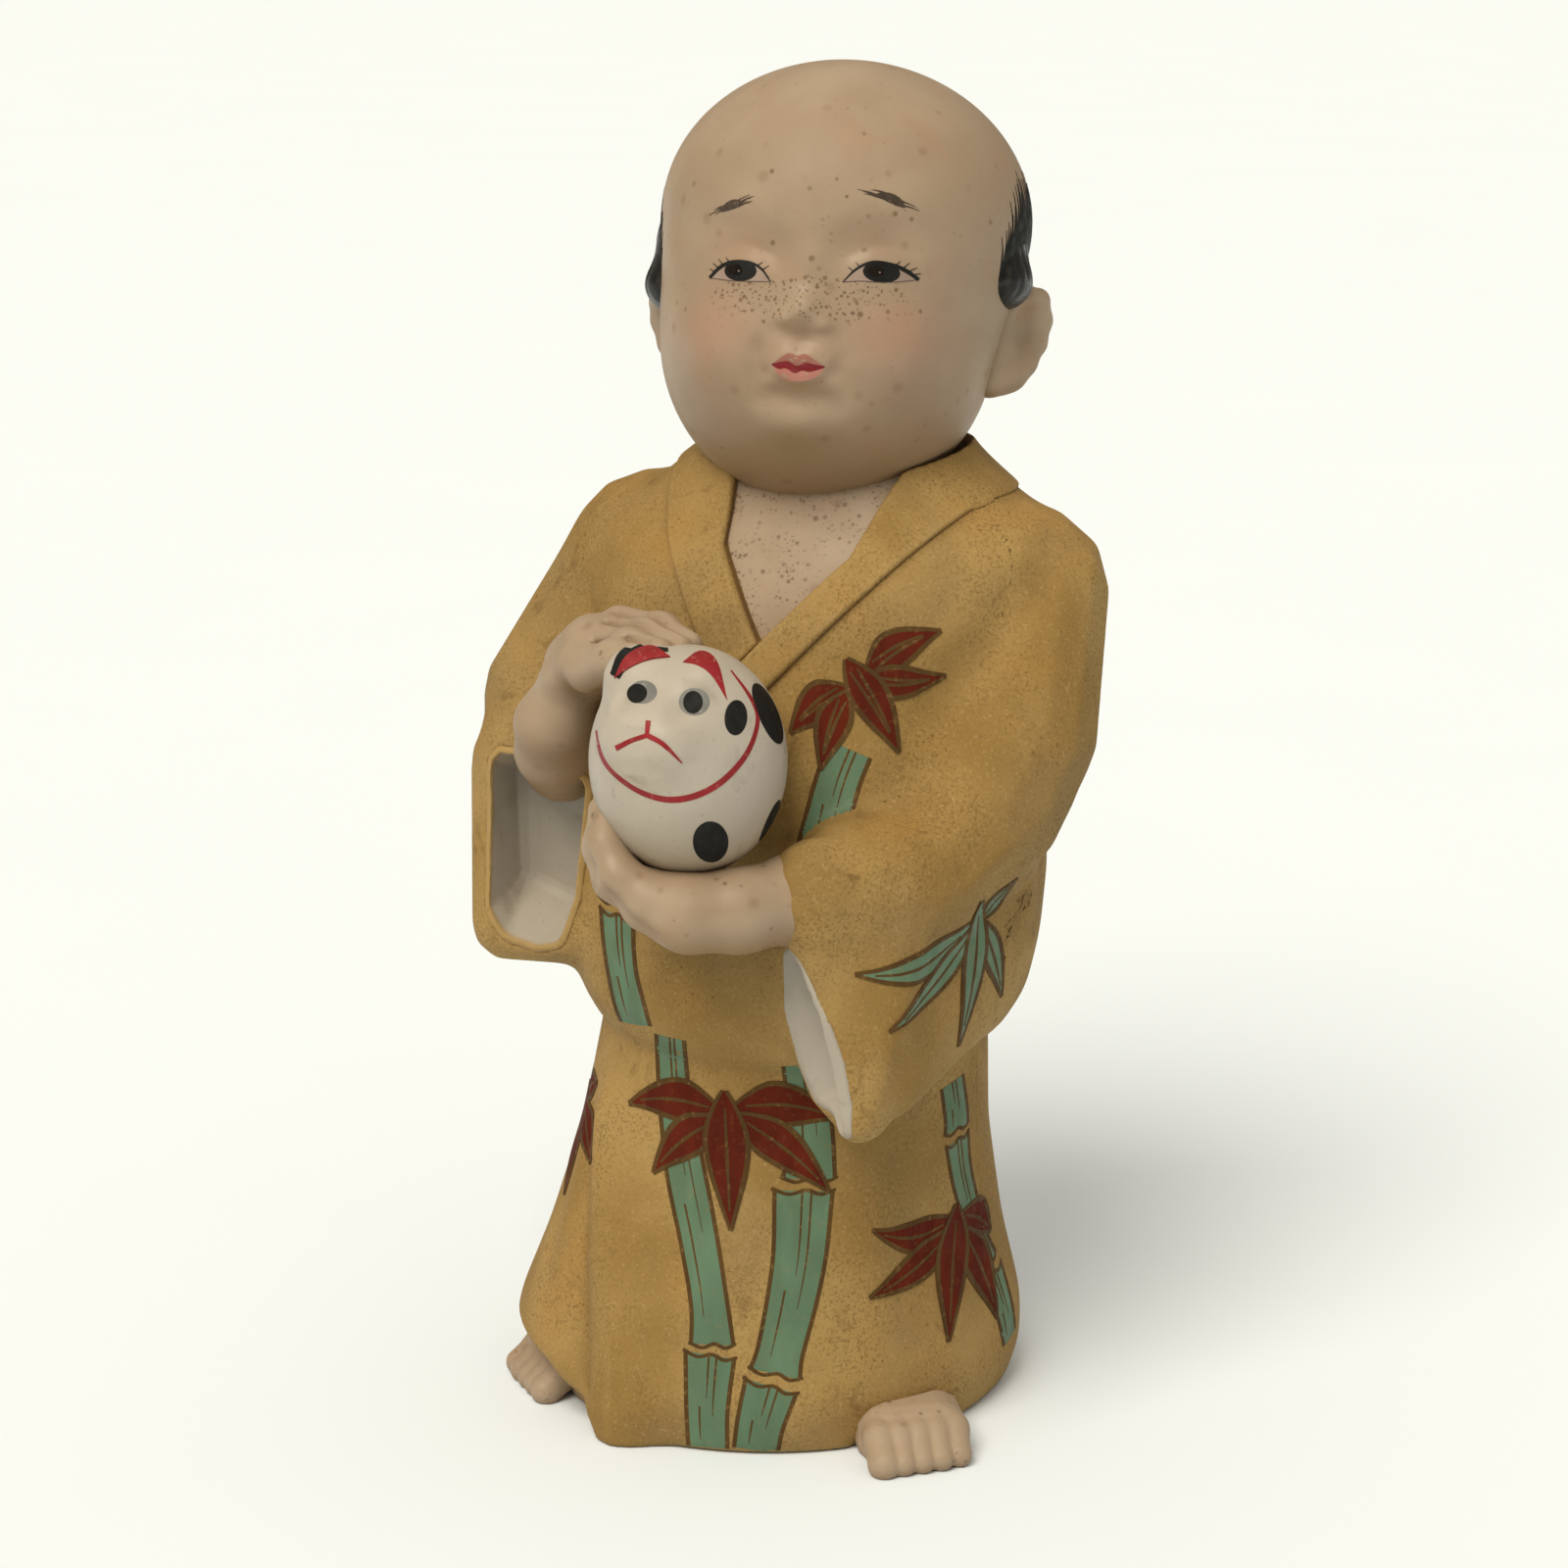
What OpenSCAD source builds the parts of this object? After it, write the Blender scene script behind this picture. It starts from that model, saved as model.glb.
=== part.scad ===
// Unglazed clay figurine of a standing child in a robe, holding an egg-shaped toy dog.
// Millimetres, +Z up, the figure faces -Y and its own left hand is at +X.
// The origin is on the floor, at the middle of the base plate.

/* [Robe] */
// Width of the hem, side to side
hem_w = 87; // [82:1:92]
// Depth of the hem, front to back
hem_d = 76; // [72:1:80]
// Width of the robe at the crease under the bloused fold
waist_w = 66; // [62:1:70]
// Width of the bloused fold
blouse_w = 80; // [76:1:84]
// Width across the shoulders, without the sleeves
shoulder_w = 80; // [76:1:84]
// Thickness of the pressed clay wall
wall = 5; // [4:0.5:6]
// How far the collar bands stand proud of the robe
collar_t = 1.6; // [1:0.2:2.4]
// Step where the left front of the robe laps over the right one
overlap_t = 1.4; // [0.8:0.2:2]

/* [Head] */
// Width of the head without the ears
head_w = 59; // [56:1:62]
// Depth of the head, face to nape
head_d = 62; // [58:1:66]
// Height of the head, chin to crown
head_h = 71; // [69:1:74]
// Wall of the hollow head
head_wall = 4.5; // [3.5:0.5:6]
// How far the face is turned to the figure's left, in degrees
head_turn = 17; // [0:1:20]
// How far the face looks up, in degrees
head_tilt = 12; // [5:1:16]
// How far the hair tufts stand proud of the scalp
hair_t = 2; // [1.5:0.5:3]

/* [Toy] */
// Width of the toy dog
toy_w = 31; // [29:1:32]
// Height of the toy dog
toy_h = 37; // [35:1:38]

/* [Feet] */
// Width of a foot across the toes
foot_w = 17; // [15:1:18]
// Height of a foot at the hem
foot_h = 13; // [11:1:14]

/* [Base] */
// Thickness of the base plate
base_t = 5; // [4:0.5:6]
// Diameter of the firing vent in the base plate
vent_d = 10; // [8:1:14]

/* [Hidden] */

robe_colour = "#b98f4a";
skin_colour = "#c4a88a";
lining_colour = "#cfc4b4";
hair_colour = "#22221f";
clay_colour = "#b8a083";
toy_colour = "#d8d0c4";

ring_n = 36;             // points round each ring of a loft
joint_z = 66;            // height of the joint between skirt and torso
collar_z = 165;          // height of the collar's top behind the neck
seam_y = 6;              // the front and back mouldings meet on this plane
big = 400;               // longer than the figure, for half spaces
vent_y = 14;             // the vent sits behind the middle of the base
head_c = [4, 11.5, 187];
head_seam_y = 4;         // seam of the two head shells, in the head's own frame
neck_c = [4, 9, 150];
neck_r = 15;
v_bottom = [5, 133];     // lowest point of the neckline, x and z
v_left = [27, 168];
v_right = [-17, 168];
collar_w = 9;            // width of a collar band
toy_c = [3.5, -40, 118.5];
foot_at = [[39, -22, 0], [-31.5, -23, 0]];   // left foot, right foot
lining_t = 1;

// One ring of a loft: [z, centre x, centre y, half width, half depth, squareness, swing].
// Swing turns the front of a ring towards the figure's left.
skirt_rings = [
    [0, -2, -2, hem_w / 2 - 5.5, hem_d / 2 - 2, 2.2, 0.16],
    [6, -3, -2, hem_w / 2 - 2, hem_d / 2 - 1.5, 2.2, 0.15],
    [14, -3, -1, hem_w / 2 - 2, hem_d / 2 - 2, 2.2, 0.13],
    [28, -2, 0, hem_w / 2 - 5.5, hem_d / 2 - 3, 2.2, 0.1],
    [46, -1, 1, waist_w / 2 + 1.5, hem_d / 2 - 5, 2.1, 0.05],
    [joint_z, 0, 3, waist_w / 2, hem_d / 2 - 6.5, 2, 0]
];
torso_rings = [
    [joint_z, 1, 3, waist_w / 2 + 1.5, 33, 2, 0],
    [70, 1, 3, blouse_w / 2 - 2, 36, 2, 0],
    [80, 1, 4, blouse_w / 2, 37, 2, 0],
    [92, 2, 5, blouse_w / 2 - 0.5, 35.5, 2.1, 0],
    [106, 2, 6, shoulder_w / 2 - 2, 33, 2.2, 0],
    [122, 2, 8, shoulder_w / 2 - 2, 31, 2.3, 0],
    [136, 2, 10, shoulder_w / 2, 29, 2.4, 0],
    [146, 1, 12, shoulder_w / 2, 26, 2.4, 0],
    [152, 2, 13, shoulder_w / 2 - 4, 23, 2.3, 0],
    [157, 3, 13, 28, 20, 2.1, 0],
    [162, 4, 13, 21, 17.5, 2, 0],
    [collar_z, 5, 12, 18, 16, 2, 0]
];
// The head in its own frame, where the face looks along -Y.
head_rings = [
    [-0.495 * head_h, 0, -2, 0.20 * head_w, 0.20 * head_d, 2, 0],
    [-0.45 * head_h, 0, -2, 0.30 * head_w, 0.30 * head_d, 2, 0],
    [-0.36 * head_h, 0, -1, 0.405 * head_w, 0.405 * head_d, 2.1, 0],
    [-0.22 * head_h, 0, 0, 0.475 * head_w, 0.47 * head_d, 2.1, 0],
    [-0.06 * head_h, 0, 0, 0.495 * head_w, 0.495 * head_d, 2.1, 0],
    [0.11 * head_h, 0, 1, 0.5 * head_w, 0.5 * head_d, 2, 0],
    [0.25 * head_h, 0, 1, 0.475 * head_w, 0.48 * head_d, 2, 0],
    [0.37 * head_h, 0, 1, 0.40 * head_w, 0.41 * head_d, 2, 0],
    [0.45 * head_h, 0, 1, 0.28 * head_w, 0.29 * head_d, 2, 0],
    [0.49 * head_h, 0, 1, 0.15 * head_w, 0.15 * head_d, 2, 0],
    [0.5 * head_h, 0, 1, 0.05 * head_w, 0.05 * head_d, 2, 0]
];
// An upright egg, wider below the middle.
toy_rings = [for (a = [-80 : 20 : 80])
    [sin(a) * toy_h / 2, 0, 0, cos(a) * toy_w / 2, cos(a) * toy_w / 2, 2, 0]];

function power(v, e) = sign(v) * pow(abs(v), e);
function ring(r, grow) = [for (i = [0 : ring_n - 1])
    let (
        a = 360 * i / ring_n,
        x = (r[3] + grow) * power(cos(a), 2 / r[5]),
        y = (r[4] + grow) * power(sin(a), 2 / r[5])
    )
    [r[1] + x, r[2] + y + r[6] * x, r[0]]];
// Rings whose ends move by rise[0] and rise[1], to lengthen or shorten a loft.
function stretched(rings, rise) = [for (i = [0 : len(rings) - 1])
    let (r = rings[i], up = i == 0 ? rise[0] : i == len(rings) - 1 ? rise[1] : 0)
    [r[0] + up, r[1], r[2], r[3], r[4], r[5], r[6]]];

// A solid through the rings, grown or shrunk sideways by grow.
module loft(rings, grow = 0) {
    n = ring_n;
    m = len(rings);
    points = [for (r = rings) each ring(r, grow)];
    sides = [for (j = [0 : m - 2], i = [0 : n - 1])
        let (a = j * n + i, b = j * n + (i + 1) % n)
        each [[a, a + n, b], [b, a + n, b + n]]];
    bottom = [for (i = [0 : n - 1]) i];
    top = [for (i = [0 : n - 1]) (m - 1) * n + n - 1 - i];
    polyhedron(points, concat([bottom], sides, [top]));
}

// Evaluates a soft shape as one mesh at its own size.
module clay() {
    resize([0, 0, 0]) children();
}

module front_half(y) {
    intersection() {
        children();
        translate([-big / 2, y - big, -big / 2]) cube(big);
    }
}

module back_half(y) {
    intersection() {
        children();
        translate([-big / 2, y, -big / 2]) cube(big);
    }
}

module ball(at, r) {
    translate(at) sphere(r, $fn = 16);
}

// A smooth solid round several balls, each [x, y, z, radius].
module skin_over(balls) {
    hull() for (b = balls) ball([b[0], b[1], b[2]], b[3]);
}

// A tapered limb through balls, each [x, y, z, radius].
module limb(balls) {
    for (i = [0 : len(balls) - 2]) skin_over([balls[i], balls[i + 1]]);
}

module in_head() {
    translate(head_c) rotate([-head_tilt, 0, head_turn]) children();
}

/* Robe */
// The left front of the robe laps over the right one, with its edge hanging to the floor.
module skirt_shape() {
    loft(skirt_rings);
    intersection() {
        translate([-overlap_t, -overlap_t * 0.7, 0]) loft(skirt_rings);
        translate([0, seam_y, 0]) rotate([90, 0, 0]) linear_extrude(big)
            polygon([[-12, 0], [big, 0], [big, joint_z], [-24, joint_z]]);
    }
}

// The hem lifts over each foot.
module hem_arch(side) {
    translate(side > 0 ? foot_at[0] : foot_at[1])
        skin_over([
            [-side * 8, -16, -3, 8], [side * 9, -16, 0, 9], [-side * 6, 4, -3, 8],
            [side * 14, 8, -4, 7], [side * 16, -10, 0, 8]
        ]);
}

module skirt_cavity() {
    loft(stretched(skirt_rings, [-1, 1]), -wall);
}

module torso_shape() {
    loft(torso_rings);
}

module torso_cavity() {
    loft(stretched(torso_rings, [-1, 1]), -wall);
}

// The wedge of the open neckline, seen from the front; widen moves its sides outwards.
module neckline(widen = 0) {
    drop = widen * 1.9;
    translate([0, seam_y, 0]) rotate([90, 0, 0]) linear_extrude(60)
        polygon([
            [v_bottom[0], v_bottom[1] - drop],
            [v_left[0] + widen, v_left[1]],
            [v_right[0] - widen, v_right[1]]
        ]);
}

module skirt_half() {
    difference() {
        skirt_shape();
        skirt_cavity();
        hem_arch(1);
        hem_arch(-1);
        foot_shape(1);
        foot_shape(-1);
    }
}

module torso_half() {
    difference() {
        torso_shape();
        torso_cavity();
        neckline();
        in_head() loft(head_rings);
    }
}

module skirt_front_shell() {
    color(robe_colour) clay() front_half(seam_y) skirt_half();
}

module skirt_back_shell() {
    color(robe_colour) clay() back_half(seam_y) skirt_half();
}

module torso_front_shell() {
    color(robe_colour) clay() front_half(seam_y) torso_half();
}

module torso_back_shell() {
    color(robe_colour) clay() back_half(seam_y) torso_half();
}

module base_plate() {
    color(clay_colour) difference() {
        linear_extrude(base_t)
            polygon([for (p = ring(skirt_rings[0], -wall - 0.5)) [p[0], p[1]]]);
        translate([0, vent_y, -1]) cylinder(d = vent_d, h = base_t + 2, $fn = 48);
    }
}

// Skin seen inside the neckline, with the hollow stub that the head is luted onto.
module neck_and_chest() {
    color(skin_colour) clay() difference() {
        union() {
            difference() {
                intersection() {
                    loft(torso_rings, -1.5);
                    neckline();
                }
                loft(stretched(torso_rings, [-1, 1]), -wall - 0.6);
            }
            intersection() {
                loft(stretched(torso_rings, [0, 6]), -wall - 0.3);
                translate(neck_c) cylinder(r = neck_r, h = 16, $fn = 32);
            }
        }
        in_head() loft(head_rings);
        translate(neck_c - [0, 0, 20]) cylinder(r = neck_r - wall, h = 60, $fn = 32);
    }
}

// Room for the robe and its collar, taken out of what is held against the chest.
module chest_room() {
    loft(torso_rings, collar_t + 0.1);
}

// Both collar bands as one piece: a raised strip along the neckline and round the nape.
module collar() {
    difference() {
        intersection() {
            loft(stretched(torso_rings, [0, 1.5]), collar_t);
            union() {
                neckline(collar_w);
                translate([-big / 2, seam_y, collar_z - 9]) cube(big);
            }
        }
        torso_shape();
        neckline();
        in_head() loft(head_rings);
        hull() in_head() for (z = [0, 30])
            translate([0, 0, z]) scale([head_w, head_d, head_w] / 2) sphere(1, $fn = 32);
    }
}

module collar_band_left() {
    color(robe_colour) clay() intersection() {
        collar();
        translate([v_bottom[0], -big / 2, 0]) cube(big);
    }
}

module collar_band_right() {
    color(robe_colour) clay() intersection() {
        collar();
        translate([v_bottom[0] - big, -big / 2, 0]) cube(big);
    }
}

/* Head */
module head_shape() {
    difference() {
        loft(head_rings);
        loft(stretched(head_rings, [head_wall, -head_wall]), -head_wall);
    }
}

module head_face_shell() {
    color(skin_colour) clay() in_head() front_half(head_seam_y) head_shape();
}

module head_back_shell() {
    color(skin_colour) clay() in_head() back_half(head_seam_y) head_shape();
}

// side is 1 for the figure's left and -1 for its right.
module ear_shape(side) {
    in_head() skin_over([
        [side * (head_w / 2 - 4), 4, -2, 4],
        [side * (head_w / 2 + 1.5), 9, -2, 2.8],
        [side * (head_w / 2 + 1), 10, -11, 2.8],
        [side * (head_w / 2 - 2.5), 5, -17, 2.8]
    ]);
}

module ear(side) {
    difference() {
        ear_shape(side);
        in_head() loft(head_rings);
        in_head() skin_over([
            [side * (head_w / 2 + 2), 3, -4, 2.2],
            [side * (head_w / 2 + 1), 3, -11, 1.8]
        ]);
    }
}

module ear_left() {
    color(skin_colour) clay() ear(1);
}

module ear_right() {
    color(skin_colour) clay() ear(-1);
}

module hair_tuft(side) {
    difference() {
        in_head() intersection() {
            loft(head_rings, hair_t);
            translate([side * head_w / 2, 0, 0]) rotate([90, 0, 90]) translate([0, 0, -head_w / 4])
                linear_extrude(head_w / 2) polygon([[-8, -4], [-10, 4], [-5, 16], [-2, 22], [7, 22], [11, 8], [8, 0]]);
        }
        in_head() loft(head_rings);
        ear_shape(side);
    }
}

module hair_tuft_left() {
    color(hair_colour) clay() hair_tuft(1);
}

module hair_tuft_right() {
    color(hair_colour) clay() hair_tuft(-1);
}

/* Sleeves */
// Outer shape of a sleeve: the arm from shoulder to mouth, and the hanging pouch.
module sleeve_shape_left() {
    skin_over([[36, 13, 138, 12.5], [40, 3, 120, 13.5], [29, -16, 105, 12]]);
    skin_over([[39, 4, 112, 12.5], [33, 2, 74, 7], [32, -26, 66, 5], [26, -24, 104, 11]]);
    skin_over([[30, -22, 98, 11], [26, -34, 95, 5], [31, -36, 62, 3], [33, -6, 72, 7]]);
}

module sleeve_shape_right() {
    skin_over([[-34, 13, 140, 12.5], [-41, 1, 118, 14], [-38, -10, 106, 12]]);
    skin_over([[-41, 1, 114, 13], [-39, 2, 88, 9], [-38, -10, 86, 9], [-39, -12, 108, 11]]);
    skin_over([[-43, -12, 104, 10], [-44, -18, 82, 6.5], [-31, -18, 83, 6], [-33, -18, 106, 8]]);
}

// The hollow behind a sleeve's mouth; grow makes room for its lining.
module pocket_left(grow = 0) {
    skin_over([
        [22, -42, 92, 3 + grow], [28, -42, 68, 2 + grow],
        [26, -26, 90, 3 + grow], [29, -30, 72, 2 + grow]
    ]);
}

module pocket_right(grow = 0) {
    skin_over([
        [-39, -32, 104, 4 + grow], [-40, -32, 84, 4 + grow], [-33, -32, 84, 4 + grow],
        [-38, -14, 104, 4 + grow], [-39, -14, 87, 3 + grow], [-34, -14, 87, 3 + grow]
    ]);
}

module sleeve_left() {
    color(robe_colour) clay() difference() {
        sleeve_shape_left();
        torso_shape();
        skirt_shape();
        pocket_left(lining_t);
        hand_shape_left();
        toy_shape();
    }
}

module sleeve_right() {
    color(robe_colour) clay() difference() {
        sleeve_shape_right();
        torso_shape();
        pocket_right(lining_t);
        hand_shape_right();
    }
}

module sleeve_lining_left() {
    color(lining_colour) clay() difference() {
        intersection() {
            pocket_left(lining_t);
            sleeve_shape_left();
        }
        pocket_left();
        torso_shape();
        hand_shape_left();
        toy_shape();
    }
}

module sleeve_lining_right() {
    color(lining_colour) clay() difference() {
        intersection() {
            pocket_right(lining_t);
            sleeve_shape_right();
        }
        pocket_right();
        torso_shape();
        hand_shape_right();
    }
}

/* Hands */
// Forearm and palm under the toy, with four fingers and a thumb curling up beside it.
module hand_shape_left() {
    limb([[28, -24, 99, 7.5], [17, -35, 97, 7.5], [6, -41, 96, 7], [-4, -41, 98, 6]]);
    for (i = [0 : 3])
        limb([[-4, -47 + 4.2 * i, 97 + 0.4 * i, 3], [-10, -47 + 4.2 * i, 101, 2.6], [-12.5, -46 + 4 * i, 107, 2.3]]);
    limb([[2, -50, 96, 3.6], [-6, -54, 101, 2.8]]);
}

// Forearm rising out of the sleeve, with four fingers laid over the toy's head.
module hand_shape_right() {
    limb([[-37, -16, 103, 8], [-31, -27, 109, 8], [-22, -32, 122, 6.5], [-16, -32, 131, 6.5]]);
    for (i = [0 : 3])
        limb([[-16, -38.2 + 4.3 * i, 132.5, 3.4], [-9, -40.1 + 4.4 * i, 137.6, 3], [-2.2, -41.3 + 4.5 * i, 136.7, 2.6]]);
    limb([[-18, -37, 126, 3.2], [-11.5, -47, 127, 2.8]]);
}

module hand_left() {
    color(skin_colour) clay() difference() {
        hand_shape_left();
        toy_shape();
        chest_room();
    }
}

module hand_right() {
    color(skin_colour) clay() difference() {
        hand_shape_right();
        toy_shape();
        chest_room();
    }
}

/* Toy and feet */
module toy_shape() {
    translate(toy_c) loft(toy_rings);
}

module toy_dog() {
    color(toy_colour) clay() difference() {
        union() {
            toy_shape();
            translate(toy_c + [-3, -toy_w / 2 + 1.5, 2]) sphere(4.5, $fn = 20);
        }
        chest_room();
    }
}

// A bare foot with five toes, pointing forwards and a little outwards.
module foot_shape(side) {
    translate(side > 0 ? foot_at[0] : foot_at[1]) rotate([0, 0, side * 10])
        intersection() {
            union() {
                skin_over([
                    [0, 14, foot_h * 0.5, foot_w * 0.34],
                    [-foot_w * 0.2, -2, foot_h * 0.36, foot_w * 0.3],
                    [foot_w * 0.2, -2, foot_h * 0.36, foot_w * 0.3]
                ]);
                for (i = [-2 : 2])
                    skin_over([
                        [i * foot_w / 6, 0, foot_h * 0.3, foot_w / 8],
                        [i * foot_w / 5.6, -8 + abs(i + side) * 0.8, foot_h * 0.13, foot_w / 8.5]
                    ]);
            }
            translate([-big / 2, -big / 2, 0]) cube(big);
        }
}

module foot(side) {
    difference() {
        foot_shape(side);
        skirt_cavity();
    }
}

module foot_left() {
    color(skin_colour) clay() foot(1);
}

module foot_right() {
    color(skin_colour) clay() foot(-1);
}

skirt_front_shell();
skirt_back_shell();
torso_front_shell();
torso_back_shell();
base_plate();
neck_and_chest();
collar_band_left();
collar_band_right();
head_face_shell();
head_back_shell();
ear_left();
ear_right();
hair_tuft_left();
hair_tuft_right();
sleeve_left();
sleeve_right();
sleeve_lining_left();
sleeve_lining_right();
hand_left();
hand_right();
toy_dog();
foot_left();
foot_right();
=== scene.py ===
"""Looks of a clay figurine of a child in a painted robe, who holds a toy dog.

Every piece is sculpted as a field of distances and then meshed. Painted marks are thin
skins laid on the pieces. Lengths here are millimetres in the part's frame, with the
figure's left at +X and its front at -Y; build() scales the meshes to metres.
"""

import math

import bmesh
import bpy
import numpy as np
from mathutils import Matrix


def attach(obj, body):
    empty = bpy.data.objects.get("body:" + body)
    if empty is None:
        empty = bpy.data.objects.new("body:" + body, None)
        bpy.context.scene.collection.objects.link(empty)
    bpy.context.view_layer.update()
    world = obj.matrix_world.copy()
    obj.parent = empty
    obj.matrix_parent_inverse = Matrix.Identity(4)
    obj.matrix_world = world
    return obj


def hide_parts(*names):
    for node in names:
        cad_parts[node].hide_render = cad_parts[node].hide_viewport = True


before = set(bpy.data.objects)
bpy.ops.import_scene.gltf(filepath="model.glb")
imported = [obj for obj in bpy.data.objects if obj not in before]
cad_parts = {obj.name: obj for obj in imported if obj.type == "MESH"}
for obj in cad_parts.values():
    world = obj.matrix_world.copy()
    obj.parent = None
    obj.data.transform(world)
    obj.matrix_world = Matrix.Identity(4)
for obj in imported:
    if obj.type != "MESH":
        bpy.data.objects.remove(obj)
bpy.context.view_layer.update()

import openvdb
from mathutils import Vector
from mathutils.bvhtree import BVHTree

MM = 0.001
COARSE = 1.0

# ---------------------------------------------------------------- camera

CAMERA_AT = Vector((284.3, -536.3, 270)) * MM
LOOK_AT = Vector((12, -24.2, 112)) * MM
cam_data = bpy.data.cameras.new("camera")
cam_data.lens = 87
cam_data.sensor_width = 36
camera = bpy.data.objects.new("camera", cam_data)
bpy.context.collection.objects.link(camera)
camera.location = CAMERA_AT
camera.rotation_euler = (LOOK_AT - CAMERA_AT).to_track_quat("-Z", "Y").to_euler()
bpy.context.scene.camera = camera


# ---------------------------------------------------------------- fields

FAR = 9.0


def smin(a, b, k):
    """Soft minimum: joins two solids with a fillet about k wide."""
    h = np.clip(0.5 + 0.5 * (b - a) / k, 0, 1)
    return b + (a - b) * h - k * h * (1 - h)


def smax(a, b, k):
    return -smin(-a, -b, k)


class Block:
    """Distances on a regular grid in millimetres; negative is inside clay."""

    def __init__(self, lo, hi, step):
        self.step = step * COARSE
        self.lo = np.floor(np.array(lo, float) / self.step) * self.step
        self.n = np.ceil((np.array(hi, float) - self.lo) / self.step).astype(int) + 1
        self.v = np.full(self.n, FAR, np.float32)

    def axis(self, i):
        return (self.lo[i] + self.step * np.arange(self.n[i])).astype(np.float32)

    def coords(self, s=(slice(None),) * 3):
        x, y, z = (self.axis(i)[s[i]] for i in range(3))
        return x[:, None, None], y[None, :, None], z[None, None, :]

    def window(self, lo, hi):
        a = np.clip(np.floor((np.array(lo) - self.lo) / self.step).astype(int), 0, self.n)
        b = np.clip(np.ceil((np.array(hi) - self.lo) / self.step).astype(int) + 1, 0, self.n)
        return tuple(slice(int(p), int(q)) for p, q in zip(a, b))

    def other(self, step, lo, values):
        """A block made from values that are ready."""
        b = Block.__new__(Block)
        b.step, b.lo, b.n, b.v = step, lo, np.array(values.shape), values
        return b

    def like(self):
        return self.other(self.step, self.lo, np.full(self.n, FAR, np.float32))

    def part(self, lo, hi):
        """A smaller block on the same lattice, holding a copy of the values."""
        s = self.window(lo, hi)
        corner = self.lo + self.step * np.array([k.start for k in s])
        return self.other(self.step, corner, self.v[s].copy())

    def add(self, shape, k=1.0, join=smin, sign=1):
        f, lo, hi = shape
        s = self.window(np.array(lo) - k - 2, np.array(hi) + k + 2)
        self.v[s] = join(self.v[s], sign * f(*self.coords(s)), k)
        return self

    def cut(self, shape, k=1.0):
        return self.add(shape, k, smax, -1)

    def keep(self, field, k=0.4):
        """Keeps what is inside field, which is a whole-block array or broadcastable."""
        self.v = smax(self.v, field.astype(np.float32), k)
        return self

    def stroke(self, points, width, height, squash=(1, 1, 1)):
        """Raises (or presses, with a negative height) the surface along a line of points."""
        pts = smooth_line(np.array(points, float))
        reach = 2.4 * width
        s = self.window(pts.min(0) - reach, pts.max(0) + reach)
        best = None
        for a, b in zip(pts[:-1], pts[1:]):
            d2, _ = segment(*self.coords(s), a, b, squash)
            best = d2 if best is None else np.minimum(best, d2)
        self.v[s] -= (height * np.exp(-best / width**2)).astype(np.float32)
        return self

    def dab(self, at, width, height):
        """A soft bump, or a dent, about width wide along x, y and z."""
        at = np.array(at, float)
        w = np.array(width, float)
        s = self.window(at - 2.5 * w, at + 2.5 * w)
        d2 = sum(((c - at[i]) / w[i]) ** 2 for i, c in enumerate(self.coords(s)))
        self.v[s] -= (height * np.exp(-d2)).astype(np.float32)
        return self

    def finer(self):
        """The same block on a lattice twice as fine."""
        v = self.v
        for axis in range(3):
            v = np.moveaxis(v, axis, 0)
            w = np.empty((2 * len(v) - 1,) + v.shape[1:], np.float32)
            w[::2] = v
            w[1::2] = 0.5 * (v[:-1] + v[1:])
            v = np.moveaxis(w, 0, axis)
        return self.other(self.step / 2, self.lo, np.ascontiguousarray(v))

    def soften(self, times=1):
        """A small blur, which rounds edges over about a grid step per pass."""
        for _ in range(times):
            for axis in range(3):
                v = np.moveaxis(self.v, axis, 0)
                w = v.copy()
                w[1:-1] = 0.25 * v[:-2] + 0.5 * v[1:-1] + 0.25 * v[2:]
                v[:] = w
        return self

    def sample(self, p):
        """Trilinear value at points in millimetres."""
        q = (p - self.lo) / self.step
        i = np.clip(np.floor(q).astype(int), 0, self.n - 2)
        f = np.clip(q - i, 0, 1)
        out = 0
        for d in np.ndindex(2, 2, 2):
            j = i + d
            weight = np.prod(np.where(d, f, 1 - f), axis=1)
            out = out + weight * self.v[j[:, 0], j[:, 1], j[:, 2]]
        return out

    def surface(self):
        """Points in millimetres and quads of the zero surface."""
        h = self.step
        v = np.clip(self.v, -3 * h, 3 * h).astype(np.float32)
        for axis in range(3):
            w = np.moveaxis(v, axis, 0)
            w[0] = w[-1] = 3 * h
        grid = openvdb.FloatGrid(3 * h)
        grid.copyFromArray(v, tolerance=1e-4)
        points, quads = grid.convertToQuads(isovalue=0.0)
        return points * h + self.lo, quads


def smooth_line(pts, steps=5):
    """Catmull-Rom through the points, at a few samples a span."""
    if len(pts) < 3:
        return pts
    p = np.vstack([2 * pts[0] - pts[1], pts, 2 * pts[-1] - pts[-2]])
    out = []
    for a, b, c, d in zip(p, p[1:], p[2:], p[3:]):
        for t in np.arange(steps) / steps:
            bend = (2 * a - 5 * b + 4 * c - d) * t**2 + (3 * b - a - 3 * c + d) * t**3
            out.append(0.5 * (2 * b + (c - a) * t + bend))
    out.append(pts[-1])
    return np.array(out)


def segment(x, y, z, a, b, squash=(1, 1, 1)):
    """Squared distance to a segment, with each axis weighted, and the place along it."""
    w = np.array(squash, float)
    ab = (b - a) * w
    m = float(ab @ ab) + 1e-9
    px, py, pz = (x - a[0]) * w[0], (y - a[1]) * w[1], (z - a[2]) * w[2]
    t = np.clip((px * ab[0] + py * ab[1] + pz * ab[2]) / m, 0, 1)
    return (px - t * ab[0]) ** 2 + (py - t * ab[1]) ** 2 + (pz - t * ab[2]) ** 2, t


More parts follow.
